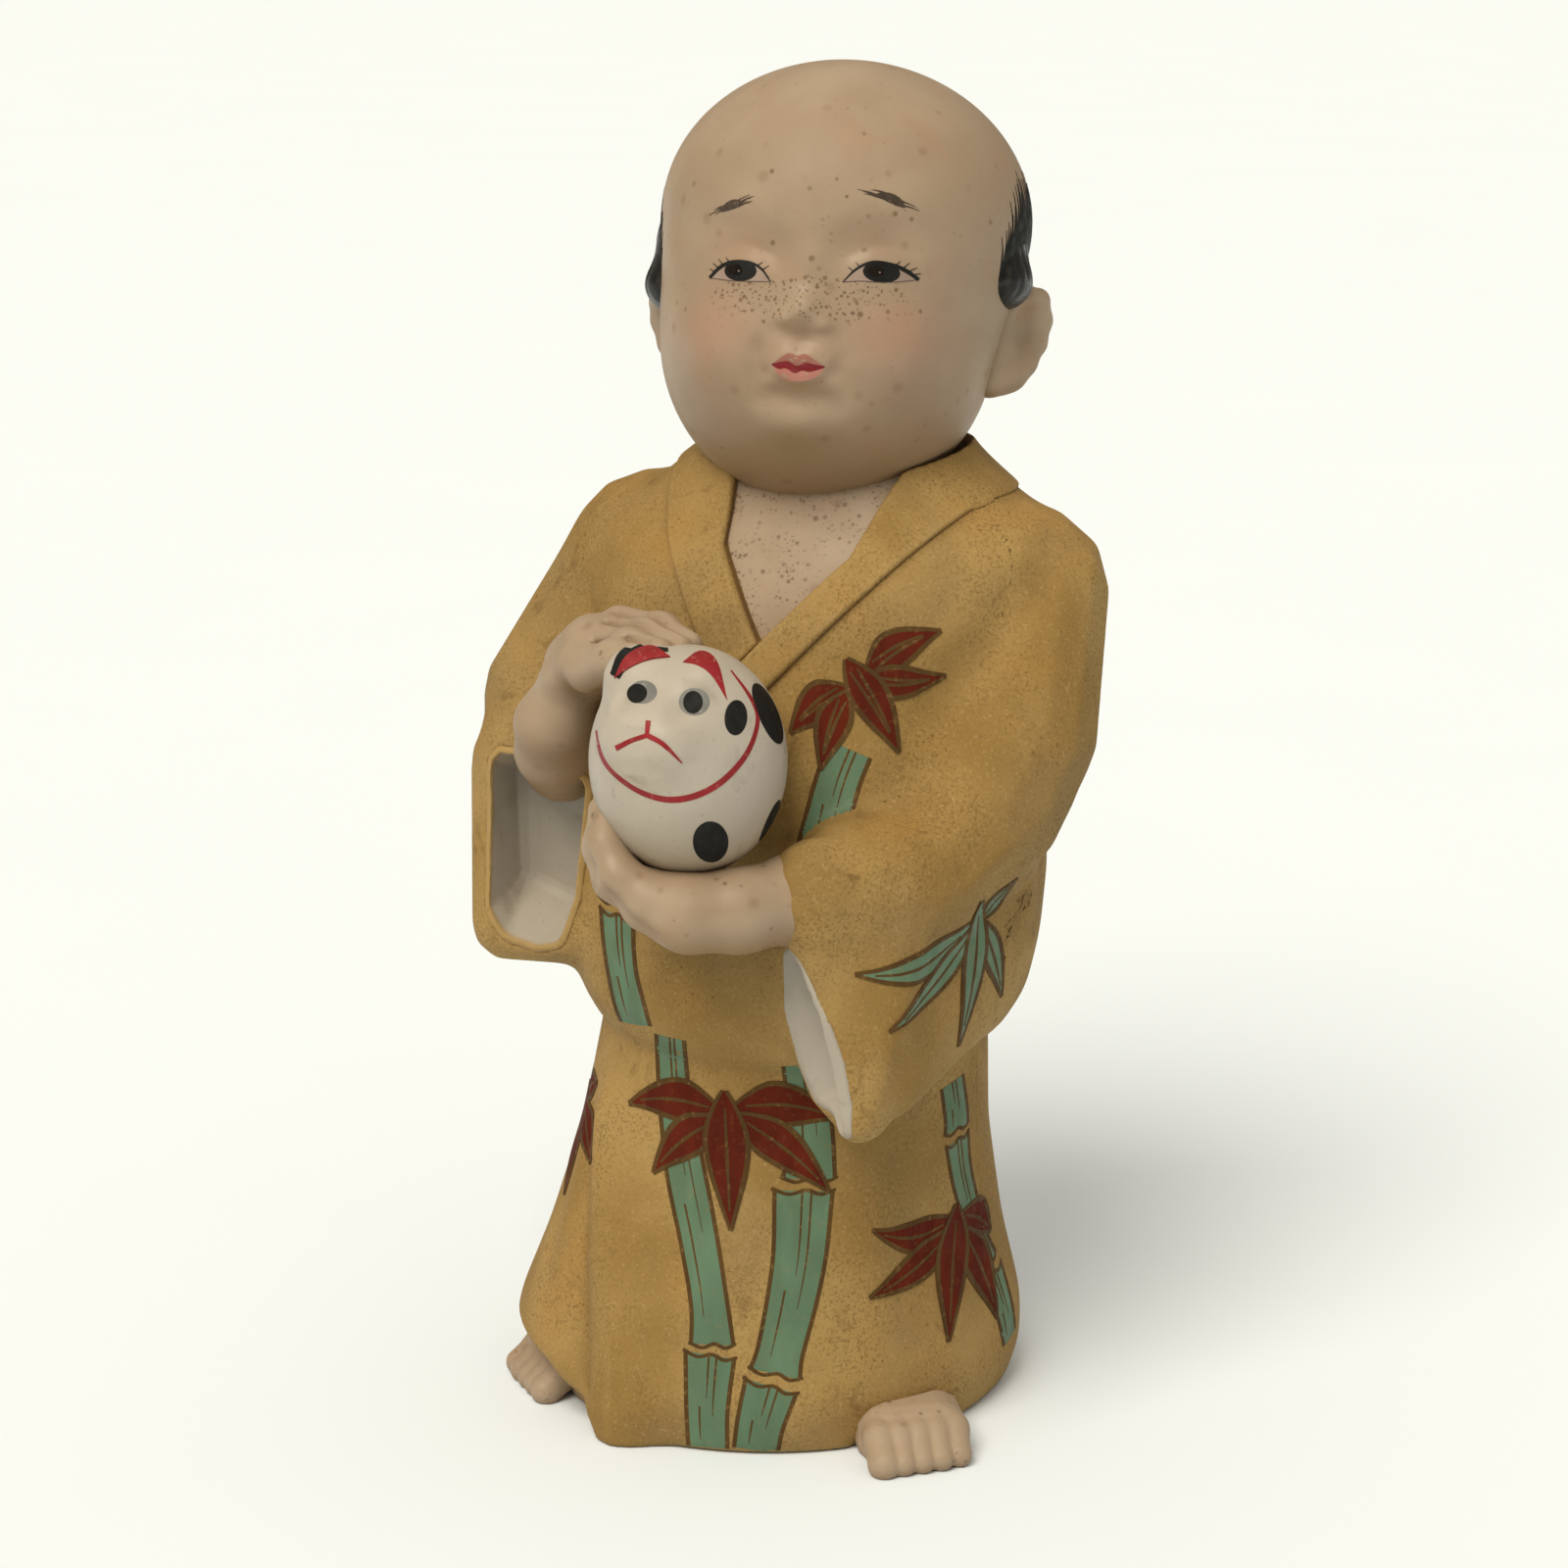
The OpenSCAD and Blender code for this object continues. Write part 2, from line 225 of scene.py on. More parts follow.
def limb(balls, k=1.5):
    """A tapered limb through balls, each (x, y, z, radius)."""
    b = np.array(balls, float)

    def f(x, y, z):
        out = None
        for p, q in zip(b[:-1], b[1:]):
            d2, t = segment(x, y, z, p[:3], q[:3])
            d = np.sqrt(d2) - (p[3] + (q[3] - p[3]) * t)
            out = d if out is None else smin(out, d, k)
        return out

    r = b[:, 3:]
    return f, (b[:, :3] - r).min(0), (b[:, :3] + r).max(0)


def egg(c, r, turn=None):
    """An ellipsoid with half axes r, turned by a 3x3 matrix."""
    c = np.array(c, float)
    r = np.array(r, float)
    m = np.eye(3) if turn is None else np.array(turn)

    def f(x, y, z):
        d = [x - c[0], y - c[1], z - c[2]]
        p = [sum(m[j][i] * d[j] for j in range(3)) / r[i] for i in range(3)]
        k0 = np.sqrt(p[0] ** 2 + p[1] ** 2 + p[2] ** 2) + 1e-6
        k1 = np.sqrt(sum((p[i] / r[i]) ** 2 for i in range(3))) + 1e-6
        return k0 * (k0 - 1) / k1

    big = max(r)
    return f, c - big, c + big


_ball = bmesh.new()
bmesh.ops.create_icosphere(_ball, subdivisions=2, radius=1)
BALL_POINTS = np.array([v.co for v in _ball.verts])
_ball.free()


def hull(balls, grow=0.0):
    """The convex skin round several balls, each (x, y, z, radius)."""
    b = np.array(balls, float)
    bm = bmesh.new()
    for x, y, z, r in b:
        for p in BALL_POINTS:
            bm.verts.new((x + r * p[0], y + r * p[1], z + r * p[2]))
    bmesh.ops.convex_hull(bm, input=bm.verts)
    bm.normal_update()
    normals = {tuple(round(c, 2) for c in f.normal) for f in bm.faces}
    bm.free()
    planes = []
    for n in normals:
        n = np.array(n)
        n = n / np.linalg.norm(n)
        planes.append((n, float((b[:, :3] @ n + b[:, 3]).max()) + grow))

    def f(x, y, z):
        out = None
        for n, d in planes:
            n = n.astype(np.float32)
            g = n[0] * x + (n[1] * y + (n[2] * z - np.float32(d)))
            out = g if out is None else np.maximum(out, g, out=out)
        return out

    r = b[:, 3:] + grow
    return f, (b[:, :3] - r).min(0), (b[:, :3] + r).max(0)


def loft(rings, grow=0.0, ends=(0.0, 0.0), blur=2.5, cap=3.0):
    """A solid through rings: (z, centre x, centre y, half width, half depth, squareness, swing)."""
    t = np.array(rings, float)
    z0, z1 = t[0, 0] + ends[0], t[-1, 0] + ends[1]

    def f(x, y, z):
        zs = z.ravel()
        fine = np.arange(z0 - 12, z1 + 12, 0.25)
        kernel = np.exp(-((np.arange(-16, 17) * 0.25) ** 2) / (2 * blur**2))
        kernel /= kernel.sum()
        cols = []
        for i in range(1, 7):
            c = np.interp(fine, t[:, 0], t[:, i])
            c = np.convolve(np.pad(c, 16, mode="edge"), kernel, mode="valid")
            cols.append(np.interp(zs, fine, c).astype(np.float32)[None, None, :])
        cx, cy, a, b, n, swing = cols
        dx = x - cx
        dy = y - cy - swing * dx
        q = (np.abs(dx / a) ** n + np.abs(dy / b) ** n + 1e-6) ** (1 / n)
        r = np.sqrt(dx**2 + dy**2)
        side = r - r / q - grow
        return smax(side, np.maximum(z - z1, z0 - z) + 0 * side, cap)

    lo = [(t[:, 1] - t[:, 3]).min() - 8 - grow, (t[:, 2] - t[:, 4]).min() - 8 - grow, z0 - 2]
    hi = [(t[:, 1] + t[:, 3]).max() + 8 + grow, (t[:, 2] + t[:, 4]).max() + 8 + grow, z1 + 2]
    return f, np.array(lo), np.array(hi)


def rotation(tilt, turn, roll):
    """Local axes to the row frame, in degrees; the face looks along local -Y."""
    a, b, c = math.radians(-tilt), math.radians(turn), math.radians(roll)
    rx = np.array([[1, 0, 0], [0, math.cos(a), -math.sin(a)], [0, math.sin(a), math.cos(a)]])
    rz = np.array([[math.cos(b), -math.sin(b), 0], [math.sin(b), math.cos(b), 0], [0, 0, 1]])
    ry = np.array([[math.cos(c), 0, math.sin(c)], [0, 1, 0], [-math.sin(c), 0, math.cos(c)]])
    return rz @ rx @ ry


# ---------------------------------------------------------------- meshes

PIECES = {}
MADE = {}


def build(name, points, quads, slot, nodes, place=None, layers=None):
    """Makes a piece from points in millimetres, and ties it to the frame."""
    if place is not None:
        m, c = place
        points = points @ np.array(m).T + np.array(c)
    mesh = bpy.data.meshes.new(name)
    quads = np.asarray(quads, np.int64)
    mesh.vertices.add(len(points))
    mesh.vertices.foreach_set("co", (points * MM).astype(np.float32).ravel())
    mesh.loops.add(quads.size)
    mesh.loops.foreach_set("vertex_index", quads.ravel().astype(np.int32))
    mesh.polygons.add(len(quads))
    mesh.polygons.foreach_set("loop_start", np.arange(0, quads.size, quads.shape[1], dtype=np.int32))
    mesh.polygons.foreach_set("use_smooth", np.ones(len(quads), bool))
    mesh.update()
    mesh.validate()
    mesh.set_sharp_from_angle(angle=math.radians(50))
    for key, values in (layers or {}).items():
        layer = mesh.attributes.new(key, "FLOAT", "POINT")
        layer.data.foreach_set("value", values.astype(np.float32))
    obj = bpy.data.objects.new(name, mesh)
    bpy.context.collection.objects.link(obj)
    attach(obj, "root")
    if nodes:
        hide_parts(*nodes)
    PIECES[name] = obj
    MADE[name] = (obj, slot)
    return obj


def mesh_points(obj):
    """A piece's points in millimetres."""
    co = np.empty(len(obj.data.vertices) * 3, np.float32)
    obj.data.vertices.foreach_get("co", co)
    return co.reshape(-1, 3) / MM


def sculpted(name, block, slot, nodes, place=None, whole=None):
    """Meshes a block; hollowness is taken from the whole body it belongs to."""
    points, quads = block.surface()
    if whole is not None:
        deep = whole.sample(points)
    else:
        deep = hollow_field(block).sample(points)
    return build(name, points, quads, slot, nodes, place, {"hollow": deep})


def hollow_field(block, reach=3.0):
    """A field whose value at the surface says how deep it lies in a hollow, about -1 to 1."""
    b = block.like()
    b.v = np.clip(block.v, -reach, reach)
    b.soften(max(1, int(round((reach / b.step) ** 2 / 3))))
    b.v = np.clip(-b.v / (0.3 * reach), -1, 1)
    return b


# ---------------------------------------------------------------- robe

STEP = 0.6
JOINT_Z = 66
SEAM_Y = 6
WALL = 5
LAP = 0.3
SLEEVE_LAP = 1.0
HEAD_LAP = 0.8
HEAD_SPLIT_Y = 4
HEAD_WALL = 4.5
TOY_LUMPS = 30
BASE_T = 5

SKIRT_RINGS = [
    (0, -2, -2, 37.5, 36, 2.2, 0.16), (6, -3, -2, 41, 36.5, 2.2, 0.15), (14, -3, -1, 41, 36, 2.2, 0.13),
    (28, -2.3, 0, 36.6, 35, 2.2, 0.1), (46, -1, 1, 33.5, 33, 2.1, 0.05), (66, 0, 3, 32.5, 31.5, 2, 0)
]
TORSO_RINGS = [
    (66, 1, 3, 34.5, 33, 2, 0), (70, 1, 3, 38, 36, 2, 0), (80, 1, 4, 40, 37, 2, 0),
    (92, 2, 5, 39.5, 35.5, 2.1, 0), (106, 2, 6, 38, 33, 2.2, 0), (122, 2, 8, 38, 31, 2.3, 0),
    (136, 2, 10, 40, 29, 2.4, 0), (146, 1, 12, 40, 26, 2.4, 0), (151, 2.6, 13, 33.5, 23, 2.3, 0),
    (157, 2, 13, 26.5, 20, 2.1, 0), (162, 3, 13, 20, 17.5, 2, 0), (165, 5, 12, 18, 16, 2, 0)
]
# Each arm is an upper sleeve and then the hanging pouches, as skins round balls (x, y, z, radius).
ARM_LEFT = [
    [(37, 13, 139, 12.6), (39.2, 2, 116.5, 13.4), (37.5, -3, 107.5, 12)],
    [(37.5, -2, 108, 11.8), (30.5, -18, 97, 11)],
    [(33, 3, 101, 10), (32, 2, 74, 6.6), (32, -26, 66, 5), (25.5, -25, 98, 9.8)],
    [(30, -22, 97, 10.5), (24, -34, 93, 5), (31, -36, 62, 3), (32, -6, 72, 6.4)],
    [(30, -20, 97, 10), (22.8, -32.3, 97.3, 9)],
    [
        (17, -30, 86, 2), (17.5, -30, 77, 2), (19.5, -30, 69, 2), (22, -30, 63.5, 2), (27, -31, 60, 2),
        (31, -33, 62, 3), (28, -26, 88, 5)
    ]
]
ARM_RIGHT = [
    [(-34, 13, 139.5, 12), (-41.5, -1, 114.5, 14.3), (-38, -10, 106, 12)],
    [(-41, 1, 114, 13), (-39, 2, 88, 9), (-38, -10, 85, 9), (-39, -12, 108, 11)],
    [(-42.6, -12, 104, 10), (-43.4, -18, 79.5, 6.5), (-31, -18, 80, 6), (-33, -18, 106, 8)]
]
POCKET_LEFT = [
    (12, -34, 90, 1), (15, -34, 58, 1), (12, -46, 90, 1), (18, -46, 56, 1), (21, -38, 87, 0.6),
    (25.7, -38, 80, 0.6), (28.6, -38, 72, 0.6), (30, -38, 65, 0.6), (30, -38, 61.5, 0.6),
    (28, -32.5, 80, 0.6), (31, -33, 70, 0.6)
]
POCKET_RIGHT = [
    (-40.6, -32, 111, 2.4), (-38.8, -32, 83, 4.6), (-36, -32, 80.2, 5.5), (-33.5, -32, 80.4, 5),
    (-28, -32, 91, 3.6), (-25, -32, 107, 2.4), (-41.3, -15, 104, 3), (-41, -15, 87, 3), (-34, -15, 85, 3),
    (-32, -15, 104, 3)
]
FEET = {1: (33.3, -19.5, 38), -1: (-31.2, -20.4, -29)}
HEAD_C = (4, 11.5, 187)
HEAD_TILT, HEAD_TURN, HEAD_ROLL = 12, 17, 2
HEAD_TO_ROW = rotation(HEAD_TILT, HEAD_TURN, HEAD_ROLL)
HEAD_W, HEAD_D = 59, 62
HEAD_PLACE = (HEAD_TO_ROW, HEAD_C)
V_LOW = (5, 133)
V_SIDES = {1: (36, 168), -1: (-20, 168)}
COLLAR_W = {1: 6.3, -1: 9}
RING_LOW = {1: 154, -1: 157.5}
BAND_END_Z = 117
TOY_C = (3.5, -40, 118.5)

# Soft folds: width, height (a groove where negative) and the line that each runs along.
FOLDS = [
    (
        4.4, -2.2,
        [(44, 5, 145), (41, -1, 139), (38, -6, 133), (35, -11, 127), (34, -16, 119), (33, -21, 113)]
    ),
    (1.6, -0.8, [(14, -27, 104.5), (28, -32, 109.5), (34, -27, 112.5)]),
    (1.4, 0.5, [(-21, -28, 58), (-20, -29, 44), (-16, -34.5, 28), (-12, -41, 12), (-11, -42, 2)]),
    (2.8, -1.2, [(-26, -24, 50), (-22, -31, 34), (-19, -36, 18), (-18, -38, 8)]),
    (3.2, 0.5, [(-16, -29, 60), (-12, -31, 48), (-7, -34, 34)]),
    (2.4, -0.5, [(-32, -17, 54), (-31, -23, 36), (-30, -28, 22)]),
    (2.0, -0.6, [(-36, 4, 142), (-33, -6, 136), (-30, -12, 130)]),
    (3.0, -0.7, [(45, -8, 100), (44, -18, 88), (40, -26, 80)])
]


# The spaces under the hem: over the left foot and round it, and over the right foot.
ARCHES = {
    1: [(31, -38, -4.5, 8), (48, -38, 0, 9), (33, -18, -3, 8), (53, -14, -4, 7), (55, -32, 0, 8)],
    -1: [
        (-45, -34, 3, 11), (-31, -37, 1, 9), (-24, -39, -2, 8.4), (-18.5, -42, -3, 4.5), (-38, -16, 0, 9),
        (-26, -22, -2, 8)
    ]
}
CORNER = [(-19, -25, 52, 2), (-15.5, -31.5, 28, 3), (-11, -37.5, 5, 3.6), (-10.6, -38, -3, 3.6)]


def edge_of_neck(side, x, z):
    """Distance outside one edge of the open neckline, seen from the front."""
    ax, az = V_SIDES[side][0] - V_LOW[0], V_SIDES[side][1] - V_LOW[1]
    size = math.hypot(ax, az)
    return side * ((x - V_LOW[0]) * (az / size) - (z - V_LOW[1]) * (ax / size))


def wedge(x, z):
    """The open neckline; negative inside."""
    return np.maximum(edge_of_neck(1, x, z), edge_of_neck(-1, x, z))


def collar_strip(side, x, y, z):
    """Where one collar band runs: the left one laps over the right one below the V."""
    d = edge_of_neck(side, x, z)
    inward = 0.45 * np.clip(z - 147, 0, 12)
    strip = np.maximum(np.maximum(-d - inward, d - COLLAR_W[side]), y - SEAM_Y - 1)
    if side > 0:
        strip = np.maximum(strip, BAND_END_Z - z)
    else:
        strip = np.maximum(strip, edge_of_neck(1, x, z))
    low = RING_LOW[-1] + (RING_LOW[1] - RING_LOW[-1]) * np.clip((x - V_LOW[0]) / 22, 0, 1)
    ring = np.maximum(low - z, SEAM_Y - 1 - y)
    ring = np.maximum(ring, -side * (x - V_LOW[0]) - LAP)
    return smin(strip, ring, 2.5)


BAND_RISE = {1: 1.3, -1: 0.9}
torso_out = {side: loft(TORSO_RINGS, grow=BAND_RISE[side], ends=(0, 1.5), cap=1.5)[0] for side in (1, -1)}


def collar_band(side, x, y, z):
    return np.maximum(torso_out[side](x, y, z), collar_strip(side, x, y, z))


robe = Block((-60, -48, -3), (60, 48, 170), STEP)
body = robe.like()
body.add(loft(TORSO_RINGS, ends=(-1.5, 0)), 0.1)
body.add(loft(SKIRT_RINGS, ends=(0, 8), cap=1.5), 1.2)
sleeves = {}
robe.v = body.v.copy()
for side, (upper, *pouches) in ((1, ARM_LEFT), (-1, ARM_RIGHT)):
    arm = robe.like().add(hull(upper), 0.1)
    hanging = robe.like()
    for balls in pouches:
        hanging.add(hull(balls), 3.0)
    sleeves[side] = smin(arm.v, hanging.v, 4.0)
    robe.v = smin(smin(robe.v, arm.v, 8.0), hanging.v, 3.0)
robe.add(limb(CORNER, 2), 7.0)
robe.soften(2)
for side in (1, -1):
    robe.cut(hull(ARCHES[side]), 1.5)
for width, height, line in FOLDS:
    robe.stroke(line, width, height)

with_collar = robe.like()
s = robe.window((-34, -34, 110), (40, 40, 168))
with_collar.v = robe.v.copy()
for side in (1, -1):
    with_collar.v[s] = np.minimum(with_collar.v[s], collar_band(side, *robe.coords(s)))
hollow_robe = hollow_field(with_collar)
del with_collar

head_room = robe.like().add(
    egg(
        np.array(HEAD_C) + HEAD_TO_ROW @ np.array([0, 0, -6]), (HEAD_W / 2 - 0.7, HEAD_D / 2 - 0.7, 29.8),
        HEAD_TO_ROW
    ),
    0.1
)


# Each of these takes a block and its window in the robe, and is negative where a piece may be.


def not_sleeves(b, s):
    return np.maximum(body.v[s] - sleeves[1][s], body.v[s] - sleeves[-1][s]) - SLEEVE_LAP


def front(b, s):
    return b.coords()[1] - (SEAM_Y + LAP) + 0 * b.v


def back(b, s):
    return (SEAM_Y - LAP) - b.coords()[1] + 0 * b.v


def above(b, s):
    return (JOINT_Z - LAP) - b.coords()[2] + 0 * b.v


def below(b, s):
    return b.coords()[2] - (JOINT_Z + LAP) + 0 * b.v


def off_floor(b, s):
    return 0 * b.v - b.coords()[2]


def open_neck(b, s):
    x, y, z = b.coords()
    return np.maximum(-np.maximum(wedge(x, z), y - SEAM_Y), -head_room.v[s])


def outside(rings, ends):
    f = loft(rings, grow=-WALL, ends=ends, cap=0.5)[0]
    return lambda b, s: -f(*b.coords())


def robe_piece(name, lo, hi, fields, nodes):
    """Cuts one piece out of the robe."""
    b = robe.part(lo, hi)
    s = robe.window(lo, hi)
    for field in fields:
        b.keep(field(b, s), 0.3)
    return sculpted(name, b, "robe_ochre", nodes, whole=hollow_robe)


skirt_wall = outside(SKIRT_RINGS, (-6, 12))
torso_wall = outside(TORSO_RINGS, (-6, 6))
SKIRT_BOX = ((-60, -48, -3), (60, 48, 72))
TORSO_BOX = ((-60, -48, 60), (60, 48, 170))
for half, where in (("front", front), ("back", back)):
    robe_piece(
        f"skirt_{half}", *SKIRT_BOX, [not_sleeves, below, where, off_floor, skirt_wall],
        [f"skirt_{half}_shell"]
    )
    robe_piece(
        f"torso_{half}", *TORSO_BOX, [not_sleeves, above, where, torso_wall, open_neck],
        [f"torso_{half}_shell"]
    )

for side, label, pocket in ((1, "left", POCKET_LEFT), (-1, "right", POCKET_RIGHT)):
    f_out, lo, hi = hull(pocket, 1.0)
    f_in = hull(pocket)[0]

    def is_sleeve(b, s):
        return sleeves[side][s] - body.v[s] - SLEEVE_LAP

    def no_pocket(b, s):
        return -f_out(*b.coords())

    box = ((10, -48, 52), (60, 40, 160)) if side > 0 else ((-60, -48, 66), (-15, 40, 160))
    robe_piece(f"sleeve_{label}_clay", *box, [is_sleeve, no_pocket], [f"sleeve_{label}"])
    lining = robe.part(lo - 3, hi + 3)
    lining.v = np.maximum(lining.v, is_sleeve(lining, robe.window(lo - 3, hi + 3)))
    lining = lining.finer()
    xyz = lining.coords()
    lining.keep(f_out(*xyz) - 0.2, 0.2).keep(-f_in(*xyz), 0.2)
    obj = sculpted(f"lining_{label}", lining, "lining_white", [f"sleeve_lining_{label}"])
    if side > 0:
        continue
    shape = robe.part(lo - 3, hi + 3)
    obj.data.attributes.new("rim", "FLOAT", "POINT").data.foreach_set(
        "value", np.clip(1.2 + shape.sample(mesh_points(obj)), 0, 1)
    )

# ---------------------------------------------------------------- collar, chest, base


def head_space(grow):
    """The lower part of the head, as room to leave in the collar and the neck."""
    low = np.array(HEAD_C) + HEAD_TO_ROW @ np.array([0, 0, -6])
    return egg(low, (HEAD_W / 2 - 1 + grow, HEAD_D / 2 - 1 + grow, 29.5 + grow), HEAD_TO_ROW)[0]


collar = Block((-34, -34, 112), (40, 40, 170), 0.4)
xyz = collar.coords()
inner = loft(TORSO_RINGS, grow=-1.5, ends=(0, 3), cap=0.5)[0](*xyz)
for side, label in ((1, "left"), (-1, "right")):
    b = collar.like()
    b.v = smax(torso_out[side](*xyz), collar_strip(side, *xyz), 0.8)
    b.keep(-inner, 0.4).keep(-head_space(0.2)(*xyz), 0.4)
    sculpted(f"collar_{label}", b, "robe_ochre", [f"collar_band_{label}"], whole=hollow_robe)

NECK = (4, 9, 15, 158)
chest = Block((-24, -30, 120), (34, 30, 170), 0.4)
x, y, z = xyz = chest.coords()
skin_field = loft(TORSO_RINGS, grow=-1.5, ends=(0, 3), cap=0.5)[0](*xyz)
plate = np.maximum(skin_field, np.maximum(wedge(x, z) - 0.5, y - SEAM_Y))
plate = np.maximum(plate, -skin_field - 3)
reach = np.sqrt((x - NECK[0]) ** 2 + (y - NECK[1]) ** 2) + 0 * z
neck = np.maximum(np.maximum(reach - NECK[2], 10 - reach), np.abs(z - NECK[3]) - 8)
chest.v = smin(plate, np.maximum(neck, skin_field + 3), 2.0).astype(np.float32)
chest.keep(-head_space(-1.0)(*xyz), 0.4)
sculpted("chest_skin", chest, "skin_beige", ["neck_and_chest"])

VENT = (0, 14, 5)
base = Block((-42, -42, -3), (42, 42, 9), 0.6)
x, y, z = base.coords()
disc = loft(SKIRT_RINGS, grow=-WALL - 0.5, ends=(-6, 0), cap=0.5)[0](x, y, z)
base.v = np.maximum(disc, np.maximum(-z, z - BASE_T)).astype(np.float32)
base.keep(VENT[2] - np.sqrt((x - VENT[0]) ** 2 + (y - VENT[1]) ** 2) + 0 * z, 0.8)
sculpted("base_plate_clay", base, "bare_clay", ["base_plate"])

# ---------------------------------------------------------------- head

head = Block((-36, -38, -42), (36, 36, 40), 0.5)
head.add(egg((-0.5, 1.5, 10), (30.1, 30.5, 25.6)), 0.1)
head.add(egg((-1.9, 0, -9.5), (27.2, 28.8, 27.5)), 8.0)


def face_y(x, z):
    """How far forward the face stands at a place, in the head's own axes."""
    column = head.v[round((x - head.lo[0]) / head.step), :, round((z - head.lo[2]) / head.step)]
    j = int(np.argmax(column < 0))
    t = column[j - 1] / (column[j - 1] - column[j])
    return float(head.lo[1] + (j - 1 + t) * head.step)


# The face is modelled in the head's own axes: (x, z) places, (x, z) widths, height.
FACE_DABS = [
    ((-11.5, 4.5), (6, 3.2), -0.5), ((10.5, 5.2), (6, 3.2), -0.5), ((-6, 1.8), (2.6, 3.8), -0.7),
    ((4.8, 2.9), (2.6, 3.8), -0.8), ((-11.6, -0.2), (5, 2.6), 0.6), ((10.7, 1.1), (5, 2.6), 0.6),
    ((-12, 10), (7, 3), 0.5), ((11, 11), (7, 3), 0.5), ((-0.9, -6.8), (2.8, 2.4), 2.1),
    ((-4.0, -8.3), (1.4, 1.3), 1.2), ((2.8, -8.8), (1.4, 1.3), 1.1), ((-0.8, -11), (2.8, 1.0), -0.8),
    ((-1, -12.6), (0.9, 1.0), -0.3), ((-1, -15), (6.5, 5.5), 0.8), ((-6.5, -16), (1.3, 1.5), -0.5),
    ((4.4, -15.8), (1.3, 1.5), -0.45), ((-16, -12.5), (8, 8), 1.6), ((14, -12), (8, 8), 1.6),
    ((-1.2, -24.5), (5, 3.3), 1.6), ((0, 20), (14, 9), 0.6)
]
FACE_LINES = [
    (2.6, 0.45, [(-0.5, 1), (-0.7, -2), (-0.9, -6)]),
    (0.9, 0.75, [(-4.9, -15.1), (-2.8, -13.9), (-1, -14.4), (0.8, -13.9), (3, -15)]),
    (1.1, 0.85, [(-3.9, -16.2), (-1, -17.2), (2.1, -16.2)]),
    (0.5, -0.8, [(-5.2, -15.4), (-1, -15.7), (3.1, -15.3)]),
    (2.0, -0.9, [(-7.4, -14), (-8, -17.5), (-7.2, -20.5)]),
    (2.0, -0.6, [(5.6, -15), (6.2, -18.5), (5, -21)]), (1.5, -0.5, [(-5.6, -9.5), (-7.6, -12.5)]),
    (1.5, -0.5, [(4.4, -9.8), (6.2, -12.8)]), (1.6, -0.8, [(-4.6, -20.2), (-1, -20.8), (2.6, -20.2)]),
    (0.8, -0.35, [(-16, 1.6), (-12, 3.1), (-7, 1.8)]), (0.8, -0.35, [(6, 2.6), (11, 4.4), (15.2, 3.2)])
]
marks = [((x, face_y(x, z), z), (w, 9, h), height) for (x, z), (w, h), height in FACE_DABS]
for at, width, height in marks:
    head.dab(at, width, height)
for width, height, line in FACE_LINES:
    head.stroke([(x, face_y(x, z), z) for x, z in line], width, height)
head.soften(1)
head_hollow = hollow_field(head, 2.0)
for label, way in (("face", 1), ("back", -1)):
    b = head.like()
    b.v = head.v.copy()
    b.keep(-(head.v + HEAD_WALL), 0.3)
    b.keep(way * (head.coords()[1] - HEAD_SPLIT_Y) - HEAD_LAP + 0 * b.v, 0.3)
    sculpted(f"head_{label}", b, "skin_beige", [f"head_{label}_shell"], HEAD_PLACE, head_hollow)

EAR_FLAP = [
    (-4, 3, -3, 2.4), (0, 8, -1.5, 1.4), (0.8, 10.5, -4.5, 1.4), (0.2, 8.5, -9, 1.4), (-3, 4, -12, 1.8),
    (-5, 2.5, -14.8, 2.3)
]
EAR_RIM = [
    (-2.8, 3.5, -2.5, 1.2), (-0.4, 6.5, 0, 1.3), (1.2, 10, -0.4, 1.4), (1.7, 12, -3.6, 1.4),
    (1.3, 11, -7.5, 1.3), (0, 8.5, -11, 1.5), (-1.8, 6, -13.2, 2), (-3.4, 4.2, -14, 1.9),
    (-4.8, 2.5, -14.5, 1.6)
]
SIDE_DROP = {1: 0, -1: -4}
SIDE_SWELL = {1: 0, -1: 1.8}
SIDE_TUCK = {1: 0, -1: 0.32}
for side, label in ((1, "left"), (-1, "right")):
    w = HEAD_W / 2
    drop = SIDE_DROP[side]

    def beside(x, y, z, *r):
        return (side * (w + x + SIDE_SWELL[side] + SIDE_TUCK[side] * min(0, z + 2)), y, z + drop, *r)

    ear = Block((side * w - 12, -8, -28), (side * w + 12, 22, 10), 0.35)
    ear.add(hull([beside(*p) for p in EAR_FLAP]), 0.5)
    ear.add(limb([beside(*p) for p in EAR_RIM], 2.5), 1.6)
    ear.dab(beside(-0.6, 5.6, -5.4), (1.7, 2.6, 3.4), -1.7)
    ear.stroke([beside(0.6, 9.3, -2), beside(0.9, 10, -5.5), beside(-0.2, 7.8, -9.5)], 0.9, 0.6)
    ear.soften(3)
    sculpted(f"ear_{label}_clay", ear, "skin_beige", [f"ear_{label}"], HEAD_PLACE)

    tuft = Block((side * w - 14, -18, -14), (side * w + 12, 22, 32), 0.4)
    tuft.add(egg(beside(-4.1, -0.2, 1.5), (5.4, 8.8, 4.6)), 0.5)
    tuft.add(egg(beside(-4.6, 1, 8), (4.6, 10, 8.5)), 3.0)
    for k in range(9):
        y = -8 + 2.2 * k + 0.7 * math.sin(5 * k)
        low = 1.5 + 2 * math.cos(3 * k)
        tuft.stroke(
            [beside(0.6, y * 1.05, 15), beside(0.6, y, 8), beside(0.4, y * 0.8, low)], 0.5, -0.22,
            (0.4, 1, 0.3)
        )
    sculpted(f"hair_{label}", tuft, "hair_black", [f"hair_tuft_{label}"], HEAD_PLACE)

# ---------------------------------------------------------------- hands, toy, feet

